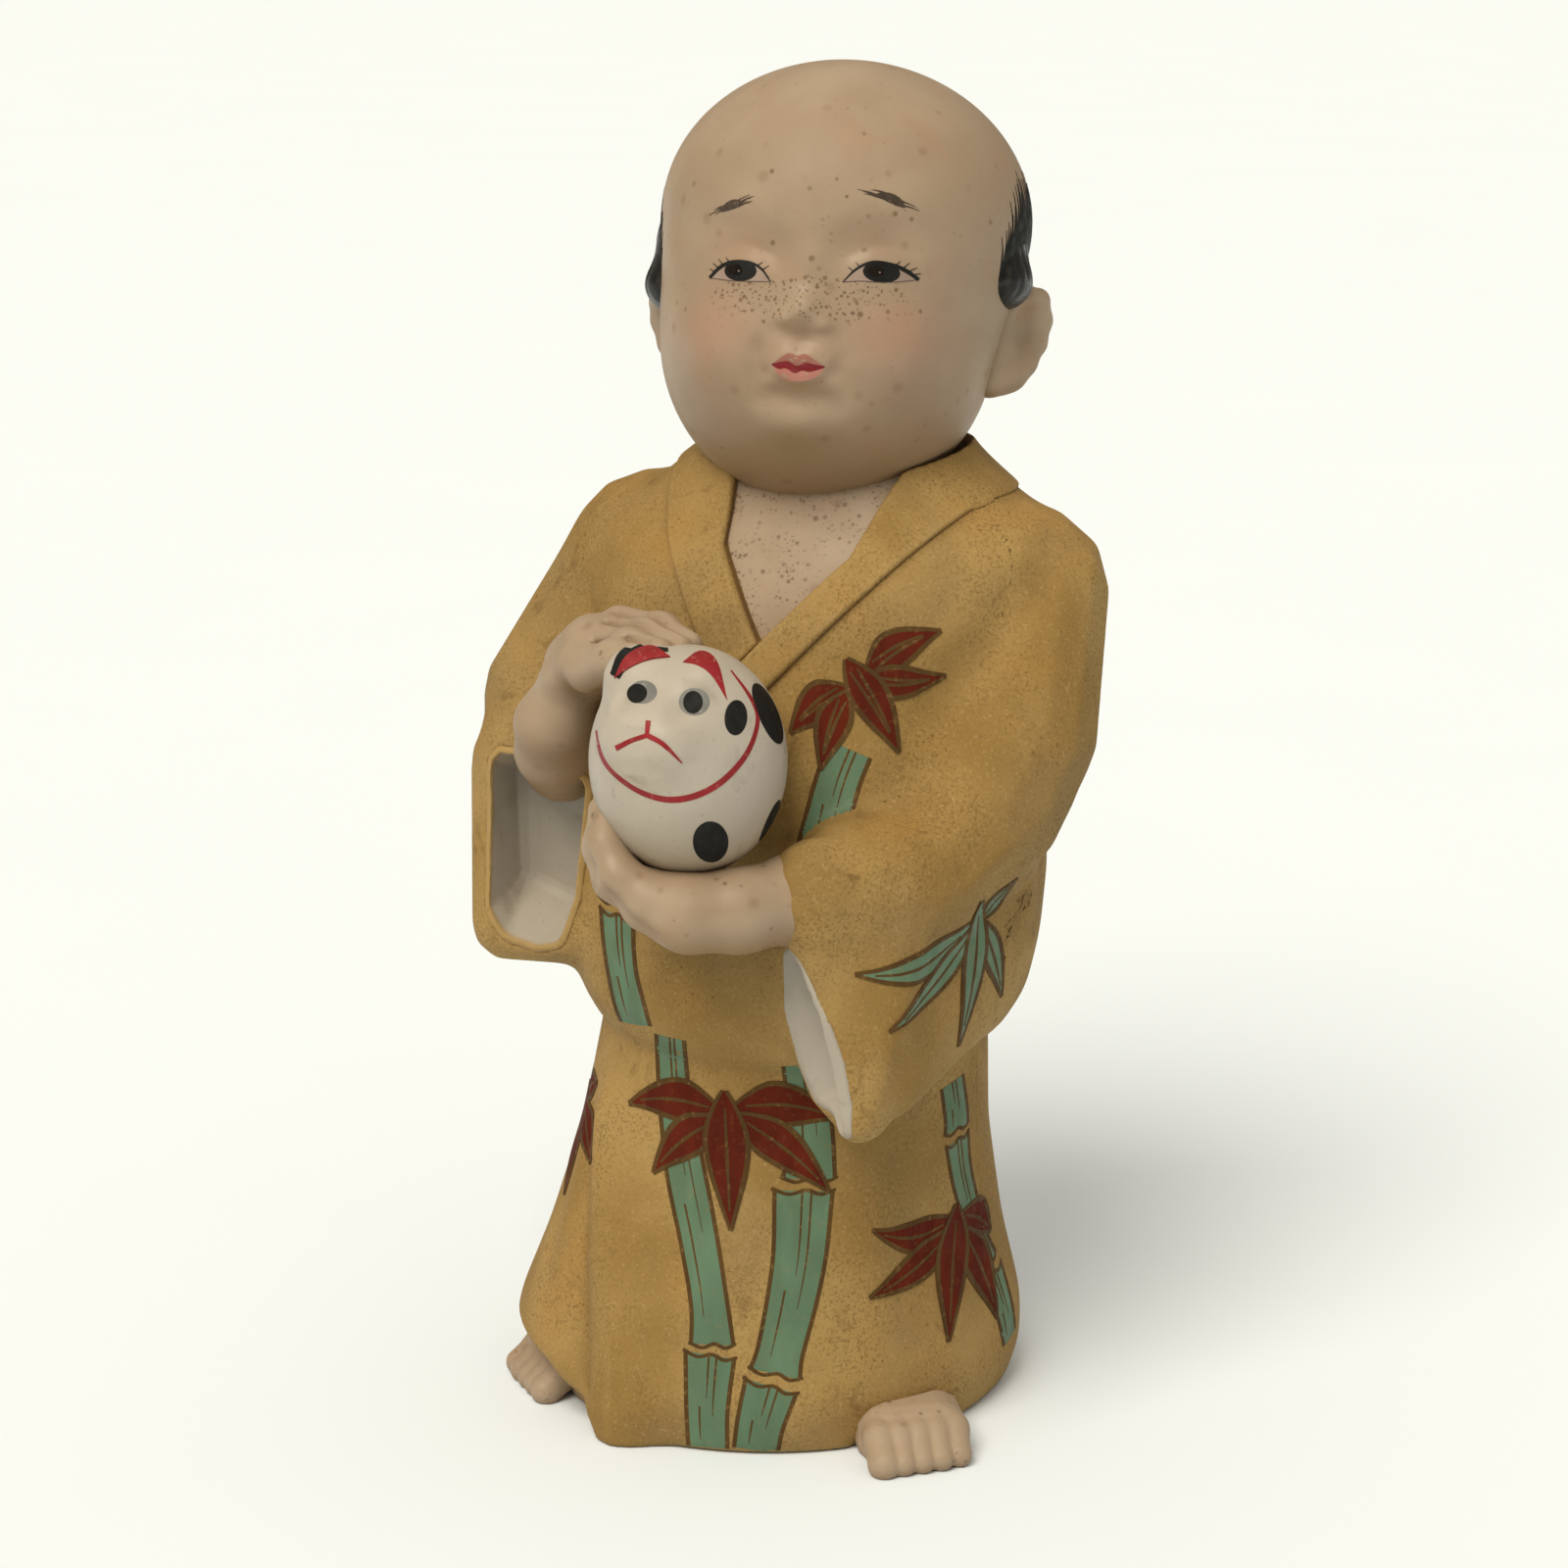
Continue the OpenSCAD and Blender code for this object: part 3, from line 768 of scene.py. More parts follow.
toy = Block((-16, -62, 96), (24, -20, 142), 0.4)
toy.add(egg(TOY_C, (15.5, 15.5, 18.2)), 0.1)
toy.add(egg((3.5, -52.5, 124.5), (6.5, 4, 4.6)), 5.0)
toy.add(egg((-3.4, -43.7, 131.8), (5, 5, 5)), 3.0)
toy.dab((-0.5, -53, 130.5), (2.2, 4, 2.0), -0.7)
toy.dab((9.2, -51.5, 130), (2.2, 4, 2.0), -0.7)
toy.dab((9.5, -44, 134.5), (2.6, 4, 2.4), 1.1)
lumps = np.random.default_rng(3)
for _ in range(TOY_LUMPS):
    x, z = lumps.uniform(-7, 12), lumps.uniform(118, 133)
    toy.dab(
        (x, -53 + 0.25 * abs(x - 3.5), z), (lumps.uniform(0.8, 1.7), 4, lumps.uniform(0.7, 1.5)),
        lumps.uniform(-0.42, 0.45)
    )
toy.stroke([(4.6, -56, 126.8), (4.4, -57, 124.5)], 0.8, -0.3)
sculpted("toy_dog_clay", toy, "toy_white", ["toy_dog"])

HAND_RIGHT = [
    (
        3,
        [
            (-38, -8, 104.5, 6), (-35.2, -14, 107.5, 6.2), (-32.3, -21, 111.5, 6.3), (-30.1, -25, 117, 6),
            (-27.6, -25, 122.5, 4.8)
        ]
    ),
    (
        2,
        [
            (-29.4, -22, 121.9, 4.6), (-26.7, -22, 126.7, 5.3), (-22.4, -24, 129.8, 5.6),
            (-17, -26, 131.2, 4.8)
        ]
    ),
    (
        1.6,
        [
            (-29.4, -26, 120.3, 3.6), (-27, -27.6, 125.6, 2.9), (-22.8, -29.6, 129, 2.9),
            (-18, -31.5, 130.2, 2.8)
        ]
    ),
    (0.6, [(-20, -31, 128.2, 3.5), (-13.5, -33.5, 131.3, 3), (-8, -36, 132.8, 2.5)]),
    (0.6, [(-20, -28, 129.8, 3.5), (-12.5, -30.5, 132.6, 3), (-4.5, -34.2, 133.6, 2.4)]),
    (0.6, [(-20, -25, 132, 4), (-11, -27.5, 133.8, 3), (-3, -31.2, 134, 2.3)]),
    (0.6, [(-19, -22, 133.3, 4), (-10, -24.5, 134.4, 2.8), (-2.5, -28.8, 134, 2.2)])
]
HAND_LEFT = [
    (
        3,
        [
            (30, -22, 97, 7), (19.3, -34, 96.6, 6.8), (14, -43, 96.4, 6.3), (8, -48, 96.4, 5.8),
            (2, -49.5, 98, 5.1)
        ]
    ),
    (
        1.0,
        [
            (2.2, -50.5, 98.5, 4.2), (-2.6, -51.5, 102, 3.1), (-5.4, -50.5, 106.5, 2.7),
            (-6, -48.5, 110.6, 2.3)
        ]
    ),
    (
        1.0,
        [(-0.3, -47, 97.5, 4), (-5.6, -47.5, 99.8, 3), (-8.4, -46.5, 104.4, 2.7), (-9.4, -44.5, 110, 2.3)]
    ),
    (1.0, [(-1, -43, 97.5, 4), (-6.8, -43.5, 99.6, 3), (-10, -42.5, 104.6, 2.6), (-11, -40.5, 110.5, 2.2)])
]
HAND_LINES = {
    "right": [
        [(-19, -29.8, 132.4), (-12.5, -32, 134.3), (-7, -35, 135.2)],
        [(-19, -26.5, 135), (-11.5, -29, 136.2), (-3, -32.6, 136)],
        [(-19, -23.5, 136.6), (-10.5, -26, 137), (-2, -30, 136.2)]
    ],
    "left": [[(-6.6, -51, 106), (-4.4, -52.8, 102), (-1.6, -54, 98), (0.4, -54, 96), (4.5, -53.8, 93)]]
}
GROOVES = {"right": (0.85, -1.0), "left": (1.3, -1.3)}
for label, limbs, box in (
    ("right", HAND_RIGHT, ((-52, -56, 88), (8, -4, 146))),
    ("left", HAND_LEFT, ((-22, -64, 84), (42, -10, 118)))
):
    hand = Block(*box, 0.4)
    for k, balls in limbs:
        hand.add(limb(balls, 2.5), k)
    hand.soften(1)
    for line in HAND_LINES[label]:
        hand.stroke(line, *GROOVES[label])
    sculpted(f"hand_{label}_clay", hand, "skin_beige", [f"hand_{label}"])

INSTEP = {1: 2.4, -1: 5}
for side, label in ((1, "left"), (-1, "right")):
    fx, fy, turn = FEET[side]
    foot = Block((fx - 20, fy - 20, -3), (fx + 20, fy + 20, 16), 0.35)
    c, d = math.cos(math.radians(turn)), math.sin(math.radians(turn))

    def at(x, y, z, r):
        return (fx + x * c - y * d, fy + x * d + y * c, z, r)

    foot.add(hull([at(i * 3.4, y, INSTEP[side], 5.8) for i in (-1, 1) for y in (11, 0)]), 0.1)
    for i in range(-2, 3):
        short = (side * i + 2) * 0.45 + (0.5 if abs(i) == 2 else 0)
        big = 0.5 if side * i == -2 else 0
        foot.add(
            limb(
                [
                    at(i * 2.9, 0, 4.6, 2.8), at(i * 3.1, -5 + short, 4.2, 2.6),
                    at(i * 3.2, -9.4 + short, 1.8, 2.2 + big)
                ]
            ),
            0.5
        )
    foot.keep(-foot.coords()[2] + 0 * foot.v, 0.3)
    sculpted(f"foot_{label}_clay", foot, "skin_beige", [f"foot_{label}"])

# ---------------------------------------------------------------- painted marks

PAINT = {}
UNDER = 0.15  # how deep a mark's hidden side lies in the clay
ACROSS = 0.8  # the width of one face across a mark
LINE_LIFT = 0.018  # outlines and veins stand this far over what they edge
FAR_BACK = 120  # rays start this far in front of the drawing plane
GRAZING = -0.12  # a ray that meets the clay more slantwise than this doesn't count
BROW_HAIRS = 14
TUFT_HAIRS = 46


def surface_of(names):
    """One search tree over several pieces, in millimetres."""
    points, faces = [], []
    for name in names:
        mesh = PIECES[name].data
        corners = np.empty(len(mesh.loops), np.int32)
        mesh.loops.foreach_get("vertex_index", corners)
        faces += (corners.reshape(-1, 4) + len(points)).tolist()
        points += mesh_points(PIECES[name]).tolist()
    return BVHTree.FromPolygons(points, faces)


def line_of(points, count):
    """Points evenly spaced along a smooth line; a third value, such as a width, rides along."""
    p = smooth_line(np.array(points, float), 8)
    if len(points) == 2:
        p = np.array(points, float)
    along = np.r_[0, np.cumsum(np.hypot(*np.diff(p[:, :2], axis=0).T))]
    t = np.linspace(0, along[-1], count)
    return np.column_stack([np.interp(t, along, p[:, i]) for i in range(p.shape[1])])


def length_of(points):
    return float(np.hypot(*np.diff(np.array(points, float)[:, :2], axis=0).T).sum())


class Canvas:
    """A flat drawing plane with axes u and w, whose marks are carried straight back onto the clay."""

    def __init__(self, hosts, u, w, centre=(0, 0, 0)):
        self.tree = surface_of(hosts)
        self.u, self.w, self.c = (np.array(v, float) for v in (u, w, centre))
        self.d = np.cross(self.w, self.u)

    def land(self, grid, lift):
        """Carries a grid of (u, w) points onto the clay, as a mark's top and its hidden underside."""
        top = np.empty(grid.shape[:2] + (3,))
        low = top.copy()
        way = Vector(self.d)
        for i, row in enumerate(grid):
            for j, (u, w) in enumerate(row):
                start = self.c + u * self.u + w * self.w - FAR_BACK * self.d
                hit, normal, _, _ = self.tree.ray_cast(Vector(start), way)
                if hit is None or normal.dot(way) > GRAZING:
                    hit, normal, _, _ = self.tree.find_nearest(hit or Vector(start + 95 * self.d))
                top[i, j] = hit + normal * lift
                low[i, j] = hit - normal * UNDER
        return top, low

    def strip(self, colour, a, b, lift=0.06, fine=0.8):
        """Fills the area between two lines of points."""
        n = max(3, int(math.ceil(max(length_of(a), length_of(b)) / (fine * COARSE))) + 1)
        a, b = line_of(a, n)[:, :2], line_of(b, n)[:, :2]
        wide = float(np.hypot(*(a - b).T).max())
        m = max(2, int(math.ceil(wide / (ACROSS * COARSE))) + 1)
        t = np.linspace(0, 1, m)[None, :, None]
        top, low = self.land(a[:, None] * (1 - t) + b[:, None] * t, lift)
        add_shell(colour, top, low)

    def line(self, colour, points, width, lift=0.09, fine=0.6):
        """A brushed line; width is one number, or several along the line."""
        n = max(3, int(math.ceil(length_of(points) / (fine * COARSE))) + 1)
        p = line_of(points, n)[:, :2]
        half = 0.5 * np.interp(np.linspace(0, 1, n), np.linspace(0, 1, np.size(width)), np.ravel(width))
        t = np.gradient(p, axis=0)
        t /= np.linalg.norm(t, axis=1)[:, None] + 1e-9
        side = np.column_stack([-t[:, 1], t[:, 0]]) * half[:, None]
        top, low = self.land(np.stack([p - side, p + side], 1), lift)
        add_shell(colour, top, low)

    def oval(self, colour, centre, radii, lift=0.06, turn=0.0):
        """A filled ellipse, laid as a strip that narrows to nearly nothing at both ends."""
        t = np.linspace(0.04, math.pi - 0.04, 12)
        c, s = math.cos(math.radians(turn)), math.sin(math.radians(turn))
        x, y = radii[0] * np.cos(t), radii[1] * np.sin(t)
        up = [(centre[0] + p * c - q * s, centre[1] + p * s + q * c) for p, q in zip(x, y)]
        down = [(centre[0] + p * c + q * s, centre[1] + p * s - q * c) for p, q in zip(x, y)]
        self.strip(colour, up, down, lift, 0.35)


def add_shell(colour, top, low):
    """Adds a closed skin made of a top grid, a bottom grid and the walls round them."""
    store = PAINT.setdefault(colour, ([], [], [0]))
    n, m = top.shape[:2]
    base = store[2][0]
    store[0].append(np.concatenate([top.reshape(-1, 3), low.reshape(-1, 3)]))
    store[2][0] += 2 * n * m
    i, j = np.meshgrid(np.arange(n - 1), np.arange(m - 1), indexing="ij")
    a = (i * m + j).ravel()
    face = np.stack([a, a + m, a + m + 1, a + 1], 1)
    rim = [(k, 0) for k in range(n)] + [(n - 1, k) for k in range(1, m)]
    rim += [(k, m - 1) for k in range(n - 2, -1, -1)] + [(0, k) for k in range(m - 2, 0, -1)]
    rim = np.array([p * m + q for p, q in rim])
    after = np.roll(rim, -1)
    wall = np.stack([after, rim, rim + n * m, after + n * m], 1)
    quads = np.concatenate([face, face[:, ::-1] + n * m, wall])
    u, v = top[1, 0] - top[0, 0], top[0, 1] - top[0, 0]
    if np.dot(np.cross(u, v), (top - low).reshape(-1, 3).mean(0)) < 0:
        quads = quads[:, ::-1]
    store[1].append(quads + base)


def plane(hosts, azimuth, tilt=0.0):
    """A canvas that faces a direction round the figure; 0 is its front and 90 its own left."""
    a, e = math.radians(azimuth), math.radians(tilt)
    u = np.array([math.cos(a), math.sin(a), 0])
    d = np.array([-math.sin(a) * math.cos(e), math.cos(a) * math.cos(e), -math.sin(e)])
    return Canvas(hosts, u, np.cross(u, d))


BLADE = [(0, 0.1), (0.12, 0.55), (0.32, 1), (0.55, 0.88), (0.8, 0.42), (1, 0.03)]


def blade(canvas, colour, start, tip, width, bend=0.0, lift=0.06, veins=1):
    """One pointed leaf blade with its outline and veins."""
    a, b = np.array(start, float), np.array(tip, float)
    t = b - a
    size = np.linalg.norm(t)
    side = np.array([-t[1], t[0]]) / size

    def at(s, off):
        middle = a + t * s + side * (bend * size * 4 * s * (1 - s))
        return tuple(middle + side * off)

    left = [at(s, 0.5 * width * w) for s, w in BLADE]
    right = [at(s, -0.5 * width * w) for s, w in BLADE]
    canvas.strip(colour, left, right, lift)
    for edge in (left, right):
        canvas.line("gold", edge, (0.5, 0.85, 0.8, 0.5), lift + LINE_LIFT)
    for k in range(veins):
        off = (k - 0.5 * (veins - 1)) * width * 0.26
        rib = [at(s, off * (1 - s)) for s in (0.12, 0.4, 0.65, 0.86 - 0.1 * abs(off))]
        canvas.line("gold", rib, (0.35, 0.6, 0.3), lift + LINE_LIFT)


def leaf(canvas, colour, blades, veins=1):
    for k, (start, tip, width, bend) in enumerate(blades):
        blade(canvas, colour, start, tip, width, bend, 0.1 + 0.035 * k, veins)


def cane(canvas, segments, lift=0.05):
    """A bamboo stalk in segments of (u, w, width) points from the top down, with wavy joints."""
    for k, points in enumerate(segments):
        p = line_of(points, 12)
        t = np.gradient(p[:, :2], axis=0)
        t /= np.linalg.norm(t, axis=1)[:, None]
        side = np.column_stack([t[:, 1], -t[:, 0]])
        left = p[:, :2] - side * p[:, 2:] / 2
        right = p[:, :2] + side * p[:, 2:] / 2
        canvas.strip("green", left, right, lift)
        canvas.line("gold", left, 0.7, lift + LINE_LIFT)
        canvas.line("gold", right, 0.7, lift + LINE_LIFT)
        for share, start, stop in ((0.36, 0.04, 0.7), (0.52, 0.04, 0.5), (0.68, 0.55, 0.97)):
            i, j = int(start * 11), int(stop * 11)
            vein = (left * (1 - share) + right * share)[i : j + 1]
            canvas.line("gold", vein, (0.35, 0.3, 0.12), lift + LINE_LIFT)
        for end, has in ((0, k > 0), (-1, k < len(segments) - 1)):
            if has:
                a, b, down = left[end], right[end], t[end]
                wave = [
                    a + (b - a) * s + down * w for s,
                    w in ((-0.06, -0.3), (0.2, 0.5), (0.45, -0.2), (0.75, 0.6), (1.06, -0.2))
                ]
                canvas.line("gold", wave, (0.45, 0.65, 0.5, 0.65), lift + 0.03)


FRONT = ["skirt_front", "torso_front", "skirt_back", "torso_back"]
skirt = plane(FRONT, 28)
cane(
    skirt,
    [
        [
            (-19.2, 69, 4.6), (-18.8, 60, 5), (-16.8, 46.5, 6.4), (-14.8, 36.5, 6.2), (-13, 25.5, 6),
            (-12.5, 18.6, 7)
        ],
        [(-12.9, 16.8, 8), (-13.4, 8, 6.8), (-13.3, 0.9, 6.4)]
    ]
)
cane(
    skirt,
    [
        [(2.2, 66.5, 6.2), (3.5, 55, 7), (3.3, 46.8, 8.4)],
        [(2.4, 44.8, 9.4), (1.8, 34.5, 8.6), (0.5, 26.5, 8), (-1.4, 18, 7.4), (-2.2, 14.3, 8.2)],
        [(-2.9, 12.2, 8.6), (-4.6, 6, 7.6), (-5.4, 0.9, 7.2)]
    ]
)
cane(
    skirt,
    [
        [(-29, 95, 3.5), (-28.4, 88.8, 5.2)],
        [(-28, 87, 5.6), (-27.8, 83, 5.3), (-27.2, 78.3, 5.1), (-26, 73, 5.4), (-25, 69.5, 5.2)]
    ]
)
cane(skirt, [[(9.7, 118, 6.8), (7.6, 112.5, 6.8), (4.6, 101.5, 6.8)]])
leaf(
    skirt, "red",
    [
        ((-11, 57.2), (-26.3, 55.2), 6.4, -0.1), ((-9, 58), (8.5, 56.5), 6.8, 0.1),
        ((-11, 56.2), (-22.2, 45.3), 5.6, -0.06), ((-9, 57), (6.6, 44.6), 6.2, 0.06),
        ((-10.4, 60.6), (-9.4, 38), 6.8, 0)
    ]
)
leaf(
    plane(FRONT + ["sleeve_left_clay"], 28), "red",
    [
        ((9.5, 127.6), (0.2, 120), 5.8, -0.08), ((12.2, 129.9), (24, 136.4), 5.6, 0.08),
        ((12, 129), (24.8, 129), 4.8, -0.04), ((9.2, 127), (5, 114.7), 5, -0.04),
        ((9, 132), (17.4, 117.4), 5.6, 0.03)
    ],
    2
)
right_side = plane(FRONT, 45)
cane(
    right_side,
    [
        [(20.7, 58.5, 5), (21.8, 52.5, 5.3), (21.9, 49.8, 5.6)],
        [(22.1, 47.9, 5.4), (22.9, 42, 4.8), (24.2, 37, 4.5), (26.8, 28.7, 4.3), (28.9, 23.8, 4.8)],
        [(29.9, 21.9, 5), (31.8, 15.7, 4.4), (33.2, 9.6, 3.8)]
    ]
)
leaf(
    plane(FRONT, 40), "red",
    [
        ((22.4, 35.4), (7.2, 37.2), 5.2, 0.12), ((24.2, 35), (31.6, 28.6), 5.4, 0.1),
        ((22.3, 33.6), (6.4, 26), 5.2, 0.04), ((24.3, 33), (31.4, 15.2), 5.2, 0.04),
        ((23.5, 37.2), (20.6, 15.7), 6.2, 0)
    ]
)
leaf(
    plane(FRONT + ["sleeve_right_clay"], -25), "red",
    [
        ((-23, 50), (-31, 54), 4.6, -0.1), ((-20, 50.5), (-13.5, 54.5), 4.4, 0.1),
        ((-23, 49), (-33, 41), 5, -0.06), ((-20, 49.5), (-10.6, 42), 5, 0.06),
        ((-21.5, 52), (-18.5, 34), 5.4, 0)
    ]
)
leaf(
    plane(["sleeve_left_clay"], 40), "green",
    [
        ((24.2, 89.9), (30.5, 96), 2.6, 0), ((21.6, 90.6), (0.4, 86.6), 5, 0.09),
        ((23.6, 90.4), (29.7, 74.2), 3.8, 0.03), ((22.4, 90), (5.6, 77.2), 4.2, 0.05),
        ((23.2, 94.2), (20.2, 69.4), 4.6, 0.03)
    ]
)

# The face, drawn in the head's own (x, z) axes.
face = Canvas(["head_face"], HEAD_TO_ROW[:, 0], HEAD_TO_ROW[:, 2], HEAD_C)
EYES = [
    {
        "upper": [(-16.9, -2.4), (-15, -0.7), (-12.8, 0.15), (-10, 0.1), (-8, -0.8), (-6.4, -2.7)],
        "lower": [(-16.9, -2.4), (-13.6, -2.75), (-11.4, -2.8), (-9.2, -2.75), (-6.4, -2.7)],
        "iris": (-11.5, -1.2), "lid": (0.55, 0.65, 0.5, 0.45, 0.35, 0.15),
        "lashes": [
            [(-15.9, -1.5), (-17, -1)], [(-15.3, -0.9), (-16.5, -0.1)], [(-14.5, -0.4), (-15.5, 0.5)],
            [(-13.5, 0.1), (-14.2, 0.8)], [(-8.8, -0.3), (-7.9, 0.3)], [(-7.9, -0.9), (-6.9, -0.2)]
        ]
    },
    {
        "upper": [(4.9, -2), (6.8, 0.1), (9.2, 1.35), (12, 1.25), (14.2, 0.5), (16, -0.6)],
        "lower": [(4.9, -2), (7.6, -1.65), (10.2, -1.6), (12.9, -1.3), (16, -0.6)], "iris": (10.6, -0.05),
        "lid": (0.15, 0.35, 0.45, 0.5, 0.65, 0.55),
        "lashes": [
            [(15.1, 0), (16.3, 0.4)], [(14.5, 0.5), (15.7, 1.2)], [(13.6, 0.8), (14.6, 1.8)],
            [(12.6, 1.2), (13.3, 1.9)], [(7.4, 0.5), (6.6, 1.2)], [(6.5, -0.3), (5.5, 0.4)]
        ]
    }
]
for eye in EYES:
    face.strip("eye_white", eye["upper"], eye["lower"], 0.04, 0.4)
    x, z = eye["iris"]
    face.oval("black", (x, z), (2.75, 1.6), 0.06)
    face.oval("iris", (x - 0.8, z + 0.1), (1.3, 0.85), 0.075)
    # A tiny dot of eye white on the iris: a painted glint.
    face.oval("eye_white", (x - 0.2, z - 0.05), (0.18, 0.14), 0.095)
    face.line("brow", eye["lower"], 0.09, 0.07, 0.3)
    face.line("black", eye["upper"], eye["lid"], 0.09, 0.3)
    for lash in eye["lashes"]:
        face.line("black", lash, (0.18, 0.06), 0.08, 0.3)

rng = np.random.default_rng(7)
BROWS = [
    ([(-15.6, 8), (-14.4, 8.8), (-13, 9.2), (-11.4, 9.3)], [(-16.6, 7.2), (-8, 10.2)]),
    ([(8.6, 11.6), (10.4, 11.6), (12, 11.1), (13.4, 10.2)], [(5.4, 12.2), (15.6, 9.2)])
]
for middle, (first, last) in BROWS:
    face.line(
        "brow", middle, (0.3, 1.3, 1.5, 1.1, 0.2) if first[0] < 0 else (0.2, 1, 1.5, 1.4, 0.3), 0.05, 0.4
    )
    for k in range(BROW_HAIRS):
        s = (k + 0.5) / BROW_HAIRS
        p = line_of(middle, 15)[k] + rng.uniform(-0.5, 0.5, 2)
        way = np.array(last) - np.array(first)
        way = way / np.linalg.norm(way)
        q = p + way * rng.uniform(1.6, 2.9) * (1 if s > 0.5 else -1)
        q[1] += rng.uniform(-0.3, 0.3)
        face.line(
            "brow", [tuple(p), tuple((p + q) / 2 + (0, 0.08)), tuple(q)], (0.22, 0.15, 0.04), 0.06, 0.4
        )

LIP_LINE_TOP = [
    (-5.2, -15.3), (-3.6, -14.9), (-2.4, -14.8), (-1.2, -15.4), (0.2, -14.8), (1.6, -15), (3.1, -15.1)
]
LIP_LINE_LOW = [
    (-5.2, -15.5), (-3.9, -16.1), (-2.9, -15.9), (-1.4, -16.6), (-0.3, -16.1), (1, -16.2), (3.1, -15.4)
]
UPPER_LIP = [
    (-5.2, -15.4), (-3.6, -14.2), (-2.3, -13.5), (-1.1, -13.9), (0, -13.5), (1.6, -14.3), (3.1, -15.3)
]
LOWER_LIP = [
    (-5.2, -15.4), (-4.2, -16.8), (-2.6, -17.6), (-1, -17.8), (1, -17.4), (2.4, -16.5), (3.1, -15.3)
]
face.strip("lip_upper", UPPER_LIP, LIP_LINE_TOP, 0.05, 0.4)
face.strip("lip_lower", LIP_LINE_LOW, LOWER_LIP, 0.05, 0.4)
face.strip("lip_line", LIP_LINE_TOP, LIP_LINE_LOW, 0.07, 0.4)

# Brushed hair round each tuft, drawn in the head's own (y, z) axes from that side.
for side, label in ((1, "left"), (-1, "right")):
    temple = Canvas(["head_face", "head_back"], side * HEAD_TO_ROW[:, 1], HEAD_TO_ROW[:, 2], HEAD_C)
    drop = SIDE_DROP[side]
    ink = [(-8.4, 3), (-7.4, 8), (-4.8, 12), (0, 14), (6, 13.5), (9.5, 9), (9.5, 3)]
    temple.strip(
        "black", [(side * y, z + drop) for y, z in ink], [(side * y * 0.6, 3 + drop) for y, z in ink], 0.05
    )
    for k in range(TUFT_HAIRS):
        s = k / (TUFT_HAIRS - 1)
        y, z = line_of(ink, TUFT_HAIRS)[k]
        lean = -0.35 + 0.8 * s + rng.uniform(-0.12, 0.12)
        reach = rng.uniform(3, 6.5)
        tip = (y + lean * reach, z + reach * rng.uniform(0.75, 1))
        foot_at = (y - 0.2, z - 2)
        points = [
            (side * p, q + drop) for p, q in (foot_at, ((y + tip[0]) / 2 - 0.2, (z + tip[1]) / 2), tip)
        ]
        temple.line("black", points, (0.6, 0.4, 0.06), 0.07)

# The toy's marks.
pet = plane(["toy_dog_clay"], 28, 15)
pet.strip(
    "black", [(-27.4, 118.2), (-26, 121.6), (-22.6, 123.6), (-18.8, 123.2)],
    [(-26, 117.4), (-24, 120.3), (-21.4, 121.6), (-18.6, 121.6)], 0.2
)
pet.strip(
    "bright", [(-26.7, 117.5), (-24.9, 120.9), (-21.4, 122.5), (-18.2, 120.7)],
    [(-26.7, 117.5), (-24, 119.3), (-21.3, 120.3), (-18.2, 120.7)], 0.28
)
pet.strip(
    "bright", [(-16.3, 119.9), (-13.6, 121.8), (-11, 120), (-9.4, 114)],
    [(-16.3, 119.9), (-14, 119.4), (-11.8, 117.8), (-9.4, 114)], 0.08
)
pet.oval("grey", (-22.3, 115.3), (2.2, 1.8), 0.05)
pet.oval("black", (-23.2, 115.1), (1.6, 1.5), 0.07)
pet.oval("grey", (-14.4, 113.8), (2.35, 2.1), 0.05)
pet.oval("black", (-14.6, 113.7), (1.5, 1.75), 0.07)
pet.line("bright", [(-21.3, 110.9), (-21.5, 108.5)], (0.8, 0.6), 0.07)
pet.line("bright", [(-21.3, 108.7), (-23.8, 107.9), (-26.3, 106.7)], (0.7, 0.7, 0.85), 0.08)
pet.line("bright", [(-21.5, 108.7), (-19, 107.3), (-16.2, 104.5)], (0.8, 0.7, 0.2), 0.09)
RING = [
    (-8.9, 118.7), (-5.9, 114.5), (-4.8, 111), (-6.3, 106.2), (-9.7, 102.1), (-13.7, 99.7), (-18, 98.9),
    (-22.2, 99.9), (-25.9, 102.2), (-28.4, 105), (-29.7, 109.5)
]
pet.line("bright", RING, (0.2, 0.5, 0.6, 0.75, 0.9, 0.95, 0.95, 0.8, 0.7, 0.6, 0.3), 0.06)
pet.oval("black", (-8.1, 111.4), (1.7, 2.7), 0.06, -4)
pet.oval("black", (-12, 92.4), (2.7, 3.2), 0.06)
pet_side = plane(["toy_dog_clay"], 86, 15)
pet_side.oval("black", (-36.4, 117.8), (3.9, 5), 0.06, 10)
pet_side.oval("black", (-36.3, 101.2), (2.8, 3), 0.06)

PAINT_SLOTS = {
    "green": "paint_green", "red": "paint_red", "gold": "paint_gold", "black": "paint_black",
    "brow": "paint_black", "iris": "paint_black", "grey": "paint_black", "eye_white": "toy_white",
    "bright": "paint_bright", "lip_upper": "paint_bright", "lip_lower": "paint_bright",
    "lip_line": "paint_bright"
}
for colour, (points, quads, _) in PAINT.items():
    obj = build(f"paint_{colour}", np.concatenate(points), np.concatenate(quads), PAINT_SLOTS[colour], ())
    MADE[obj.name] = (obj, colour)

# ---------------------------------------------------------------- vertex layers for the skin


def add_layer(obj, key, values):
    layer = obj.data.attributes.new(key, "FLOAT", "POINT")
    layer.data.foreach_set("value", np.clip(values, 0, 1).astype(np.float32))


def spread(p, at, size):
    """A soft mask round a point given in (x, z)."""
    return np.exp(-(((p[:, 0] - at[0]) / size[0]) ** 2) - ((p[:, 2] - at[1]) / size[1]) ** 2)


